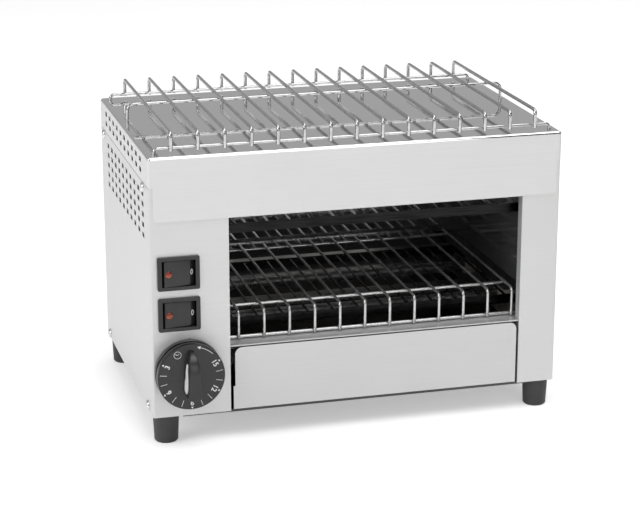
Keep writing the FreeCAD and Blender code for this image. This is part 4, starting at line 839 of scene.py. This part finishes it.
def cross_head():
    """A pan-head screw with a cross recess, its head up and its seat on the ground plane."""
    screw = turned(SCREW, steps=40)
    block((-CROSS_HALF, -CROSS_HALF, CROSS_FLOOR), (CROSS_HALF, CROSS_HALF, CROSS_TOP))
    pick("faces", lambda face: abs(face.normal.z) < 0.5)
    bpy.ops.mesh.extrude_faces_move(TRANSFORM_OT_shrink_fatten={"value": CROSS_ARM * MM})
    pick("verts", lambda vert: at(vert.co.z, CROSS_FLOOR))
    bpy.ops.transform.resize(value=(CROSS_TAPER, CROSS_TAPER, 1), center_override=(0, 0, CROSS_FLOOR * MM))
    return carved(screw, closed_up())


screw = cross_head()
OUTWARD = {"left": Matrix.Rotation(-pi / 2, 4, "Y"), "right": Matrix.Rotation(pi / 2, 4, "Y"),
           "back": Matrix.Rotation(-pi / 2, 4, "X")}
STOPS = (0.3, 1.1, 0.7, 1.4, 0.1, 0.9)


def screwed_on(side, places):
    """Copies of the screw at their places, each stopped at another angle, and joined."""
    copies = [copied(screw, Matrix.Translation(place) @ OUTWARD[side] @ Matrix.Rotation(stop, 4, "Z"))
              for place, stop in zip(places, STOPS)]
    return joined(copies)


for side in ("left", "right"):
    name = side + "_side_screws"
    low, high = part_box(name)
    seat = low[0] + HEAD_HEIGHT * MM if side == "left" else high[0] - HEAD_HEIGHT * MM
    places = [(seat, y, z) for y in (low[1] + HEAD_RADIUS * MM, high[1] - HEAD_RADIUS * MM)
              for z in (low[2] + HEAD_RADIUS * MM, high[2] - HEAD_RADIUS * MM)]
    hand_over(screwed_on(side, places), side + "_cross_screws", fastener, "body", "fastener_steel", name)
low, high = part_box("back_screws")
places = [(x, high[1] - HEAD_HEIGHT * MM, z) for x in (low[0] + HEAD_RADIUS * MM, high[0] - HEAD_RADIUS * MM)
          for z in (low[2] + HEAD_RADIUS * MM, (low[2] + high[2]) / 2, high[2] - HEAD_RADIUS * MM)]
hand_over(screwed_on("back", places), "back_cross_screws", fastener, "body", "fastener_steel", "back_screws")
bpy.data.objects.remove(screw)

# %% [markdown]
# Inside each quartz tube lies a wound coil. A coil is a small ring of wire swept round and along at once,
# which is what the Screw modifier does. The wire has only six sides, because a coil has over a hundred
# turns. Its two ends go on as straight pins through the ceramic caps.

# %% Heater coils
COIL_RADIUS = 2.4
COIL_WIRE = 0.45
COIL_PITCH = 2.2
COIL_INSET = 12
PIN_REACH = 13
PIN_RADIUS, PIN_TIP = 1.0, 0.7
PIN_CHAMFER = 0.3


def coil(start, end, y, z):
    """A coil along X between two places in metres."""
    turns = int((end - start) / (COIL_PITCH * MM))
    only()
    bpy.ops.mesh.primitive_circle_add(vertices=6, radius=COIL_WIRE * MM, rotation=(pi / 2, 0, 0),
                                      location=(COIL_RADIUS * MM, 0, 0))
    wound = bpy.context.object
    bpy.ops.object.transform_apply(location=True, rotation=True, scale=True)
    winding = wound.modifiers.new("winding", "SCREW")
    winding.angle = 2 * pi
    winding.screw_offset = COIL_PITCH * MM
    winding.iterations = turns
    winding.steps = winding.render_steps = 10
    winding.use_smooth_shade = True
    bpy.ops.object.modifier_apply(modifier=winding.name)
    bpy.ops.object.mode_set(mode="EDIT")
    bpy.ops.mesh.select_all(action="SELECT")
    bpy.ops.mesh.normals_make_consistent(inside=False)
    bpy.ops.object.mode_set(mode="OBJECT")
    return settle(wound, Matrix.Translation((start, y, z)) @ Matrix.Rotation(pi / 2, 4, "Y"))


def straight_pin(start, end, y, z):
    """A pin along X between two places in metres, with chamfered ends."""
    length = (end - start) / MM
    pin = turned([(0, 0), (PIN_TIP, 0), (PIN_RADIUS, PIN_CHAMFER), (PIN_RADIUS, length - PIN_CHAMFER),
                  (PIN_TIP, length), (0, length)], steps=16)
    return settle(pin, Matrix.Translation((start, y, z)) @ Matrix.Rotation(pi / 2, 4, "Y"))


for level in ("upper", "lower"):
    low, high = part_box(level + "_filaments")
    tube_low, tube_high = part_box(level + "_quartz_tubes")
    z = (low[2] + high[2]) / 2
    radius = (high[2] - low[2]) / 2
    pieces = []
    for y in (low[1] + radius, high[1] - radius):
        pieces.append(coil(tube_low[0] + COIL_INSET * MM, tube_high[0] - COIL_INSET * MM, y, z))
        pieces.append(straight_pin(low[0], tube_low[0] + PIN_REACH * MM, y, z))
        pieces.append(straight_pin(tube_high[0] - PIN_REACH * MM, high[0], y, z))
    hand_over(joined(pieces), level + "_wound_coils", coil_wire, "body", "resistance_wire",
              level + "_filaments")

# %% [markdown]
# The wires of both racks are spot welded where they cross the bars. A weld leaves a small bead that fills the
# corner between the two rounds. One flattened ball of eighty faces is copied to every crossing and the
# copies are joined, one piece for each rack.

# %% Weld beads
BEAD_RADIUS = 1.0
FLATTENING = (1.25, 1.0, 0.9)
WELD_DIP = 0.15


def bead():
    """A small flattened ball."""
    only()
    bpy.ops.mesh.primitive_ico_sphere_add(subdivisions=2, radius=BEAD_RADIUS * MM)
    bpy.ops.object.mode_set(mode="EDIT")
    bpy.ops.transform.resize(value=FLATTENING)
    return closed_up()


def beads(name, places, body):
    """Beads at a rack's crossings."""
    one = bead()
    welds = joined([copied(one, Matrix.Translation(place)) for place in places])
    bpy.data.objects.remove(one)
    hand_over(welds, name, rack_wire, body, "rack_wire")


TOP_WIRE = 1.5
TOP_PITCH, TOP_COUNT = 22.0, 15
LOW_BAR_UP = 4.5
MIDDLE_BAR_DEEP = 130
cover_low, cover_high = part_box("top_cover")
top_low, top_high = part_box("top_rack")
columns = [(i - (TOP_COUNT - 1) / 2) * TOP_PITCH * MM for i in range(TOP_COUNT)]
low_bar = cover_high[2] + LOW_BAR_UP * MM
front_wire, back_wire = top_low[1] + TOP_WIRE * MM, top_high[1] - TOP_WIRE * MM
middle_bar = cover_low[1] + MIDDLE_BAR_DEEP * MM
under_wires = top_high[2] - (TOP_WIRE * 2 - WELD_DIP) * MM
rows = [(front_wire + TOP_WIRE * MM, low_bar), (middle_bar, under_wires),
        (back_wire - TOP_WIRE * MM, low_bar)]
beads("warming_rack_welds", [(x, y, z) for x in columns for y, z in rows], "warming_rack")

INNER_WIRE = 1.25
INNER_FIRST, INNER_PITCH, INNER_COUNT = 75.6, 21.75, 12
INNER_BARS = (38, 191)
panel_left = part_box("left_side_panel")[0][0]
columns = [panel_left + (INNER_FIRST + i * INNER_PITCH) * MM for i in range(INNER_COUNT)]
joint_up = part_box("inner_rack")[1][2] - (INNER_WIRE * 2 - WELD_DIP) * MM
rows = [cover_low[1] + deep * MM for deep in INNER_BARS]
beads("bread_rack_welds", [(x, y, joint_up) for x in columns for y in rows], "bread_rack")

# %% [markdown]
# A small pressed pip on the column, just above the knob, is the mark that the numbers of the dial pass.

# %% Index pip
PIP = [(0, -0.3), (0.9, -0.3), (0.9, 0.1), (0.75, 0.4), (0.4, 0.6), (0, 0.65)]
PIP_ACROSS, PIP_UP = 2.0, 28.0
panel_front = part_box("left_side_panel")[0][1]
pip = turned(PIP, steps=24)
pip_place = (knob_axis.x + PIP_ACROSS * MM, panel_front, knob_axis.z + PIP_UP * MM)
settle(pip, Matrix.Translation(pip_place) @ Matrix.Rotation(radians(90), 4, "X"))
hand_over(pip, "index_pip", fastener, "body", "fastener_steel")

# %% [markdown]
# Steel only looks like what it reflects. The front and the sides mirror the pale floor, so they come out
# nearly white, and the roof mirrors the room behind, which is why it is grey. The floor is a large pale sheet
# that the camera sees as white but that still takes the toaster's soft shadow.

# %% Floor
FLOOR_SIZE = 12.0
FLOOR_GLOW = 0.42
bpy.ops.mesh.primitive_plane_add(size=FLOOR_SIZE)
floor = bpy.context.object
floor.name = "studio_floor"
material, tree, shader = finish_of("pale_floor", {"Base Color": grey(0.8), "Roughness": 0.9})
rays = add(tree, "LightPath").outputs
seen = math(tree, "MAXIMUM", rays["Is Camera Ray"], rays["Is Glossy Ray"])
seen = math(tree, "MAXIMUM", seen, rays["Is Transmission Ray"])
glow = math(tree, "MULTIPLY", seen, FLOOR_GLOW)
fill(tree, shader, {"Emission Color": grey(1.0), "Emission Strength": glow})
floor.data.materials.append(material)
print("floor", FLOOR_SIZE, "m wide, seen with a glow of", FLOOR_GLOW)

# %% [markdown]
# The room is darker behind the camera than behind the toaster, and brightest overhead. Those three levels
# are what the black parts, the roof and the folded edges mirror. Soft square lamps do the lighting: a key
# lamp from the left, a fill lamp from behind, a weak one near the camera, and a broad one high in front that
# draws the bright lines on folded edges and the sheen on the knob.

# %% Room and lamps
world = bpy.data.worlds.new("studio_room")
bpy.context.scene.world = world
world.use_nodes = True
room = world.node_tree
direction = add(room, "SeparateXYZ", {"Vector": add(room, "TexCoord").outputs["Generated"]})
behind = add(room, "MapRange", {"Value": direction.outputs["Y"], "From Min": -0.3, "From Max": 0.3,
                                "To Min": 0.14, "To Max": 0.44})
overhead = add(room, "MapRange", {"Value": direction.outputs["Z"], "From Min": 0.6, "From Max": 0.9,
                                  "To Min": 0.0, "To Max": 0.8})
level = math(room, "MAXIMUM", behind.outputs["Result"], overhead.outputs["Result"])
fill(room, room.nodes["Background"], {"Color": level})


def softbox(name, place, size, power):
    """A square lamp that looks at the middle of the toaster."""
    bpy.ops.object.light_add(type="AREA", location=place)
    lamp = bpy.context.object
    lamp.name = name
    lamp.data.size = size
    lamp.data.energy = power
    lamp.rotation_euler = (LOOK_AT - Vector(place)).to_track_quat("-Z", "Y").to_euler()
    print(name, "of", power, "W")


softbox("key_softbox", (-2.5, -0.9, 1.5), 1.6, 36.0)
softbox("fill_softbox", (1.6, 1.4, 2.8), 1.8, 9.0)
softbox("front_softbox", (0.3, -2.6, 1.0), 1.4, 12.0)
softbox("high_softbox", (0.4, -0.75, 2.45), 1.6, 23.0)
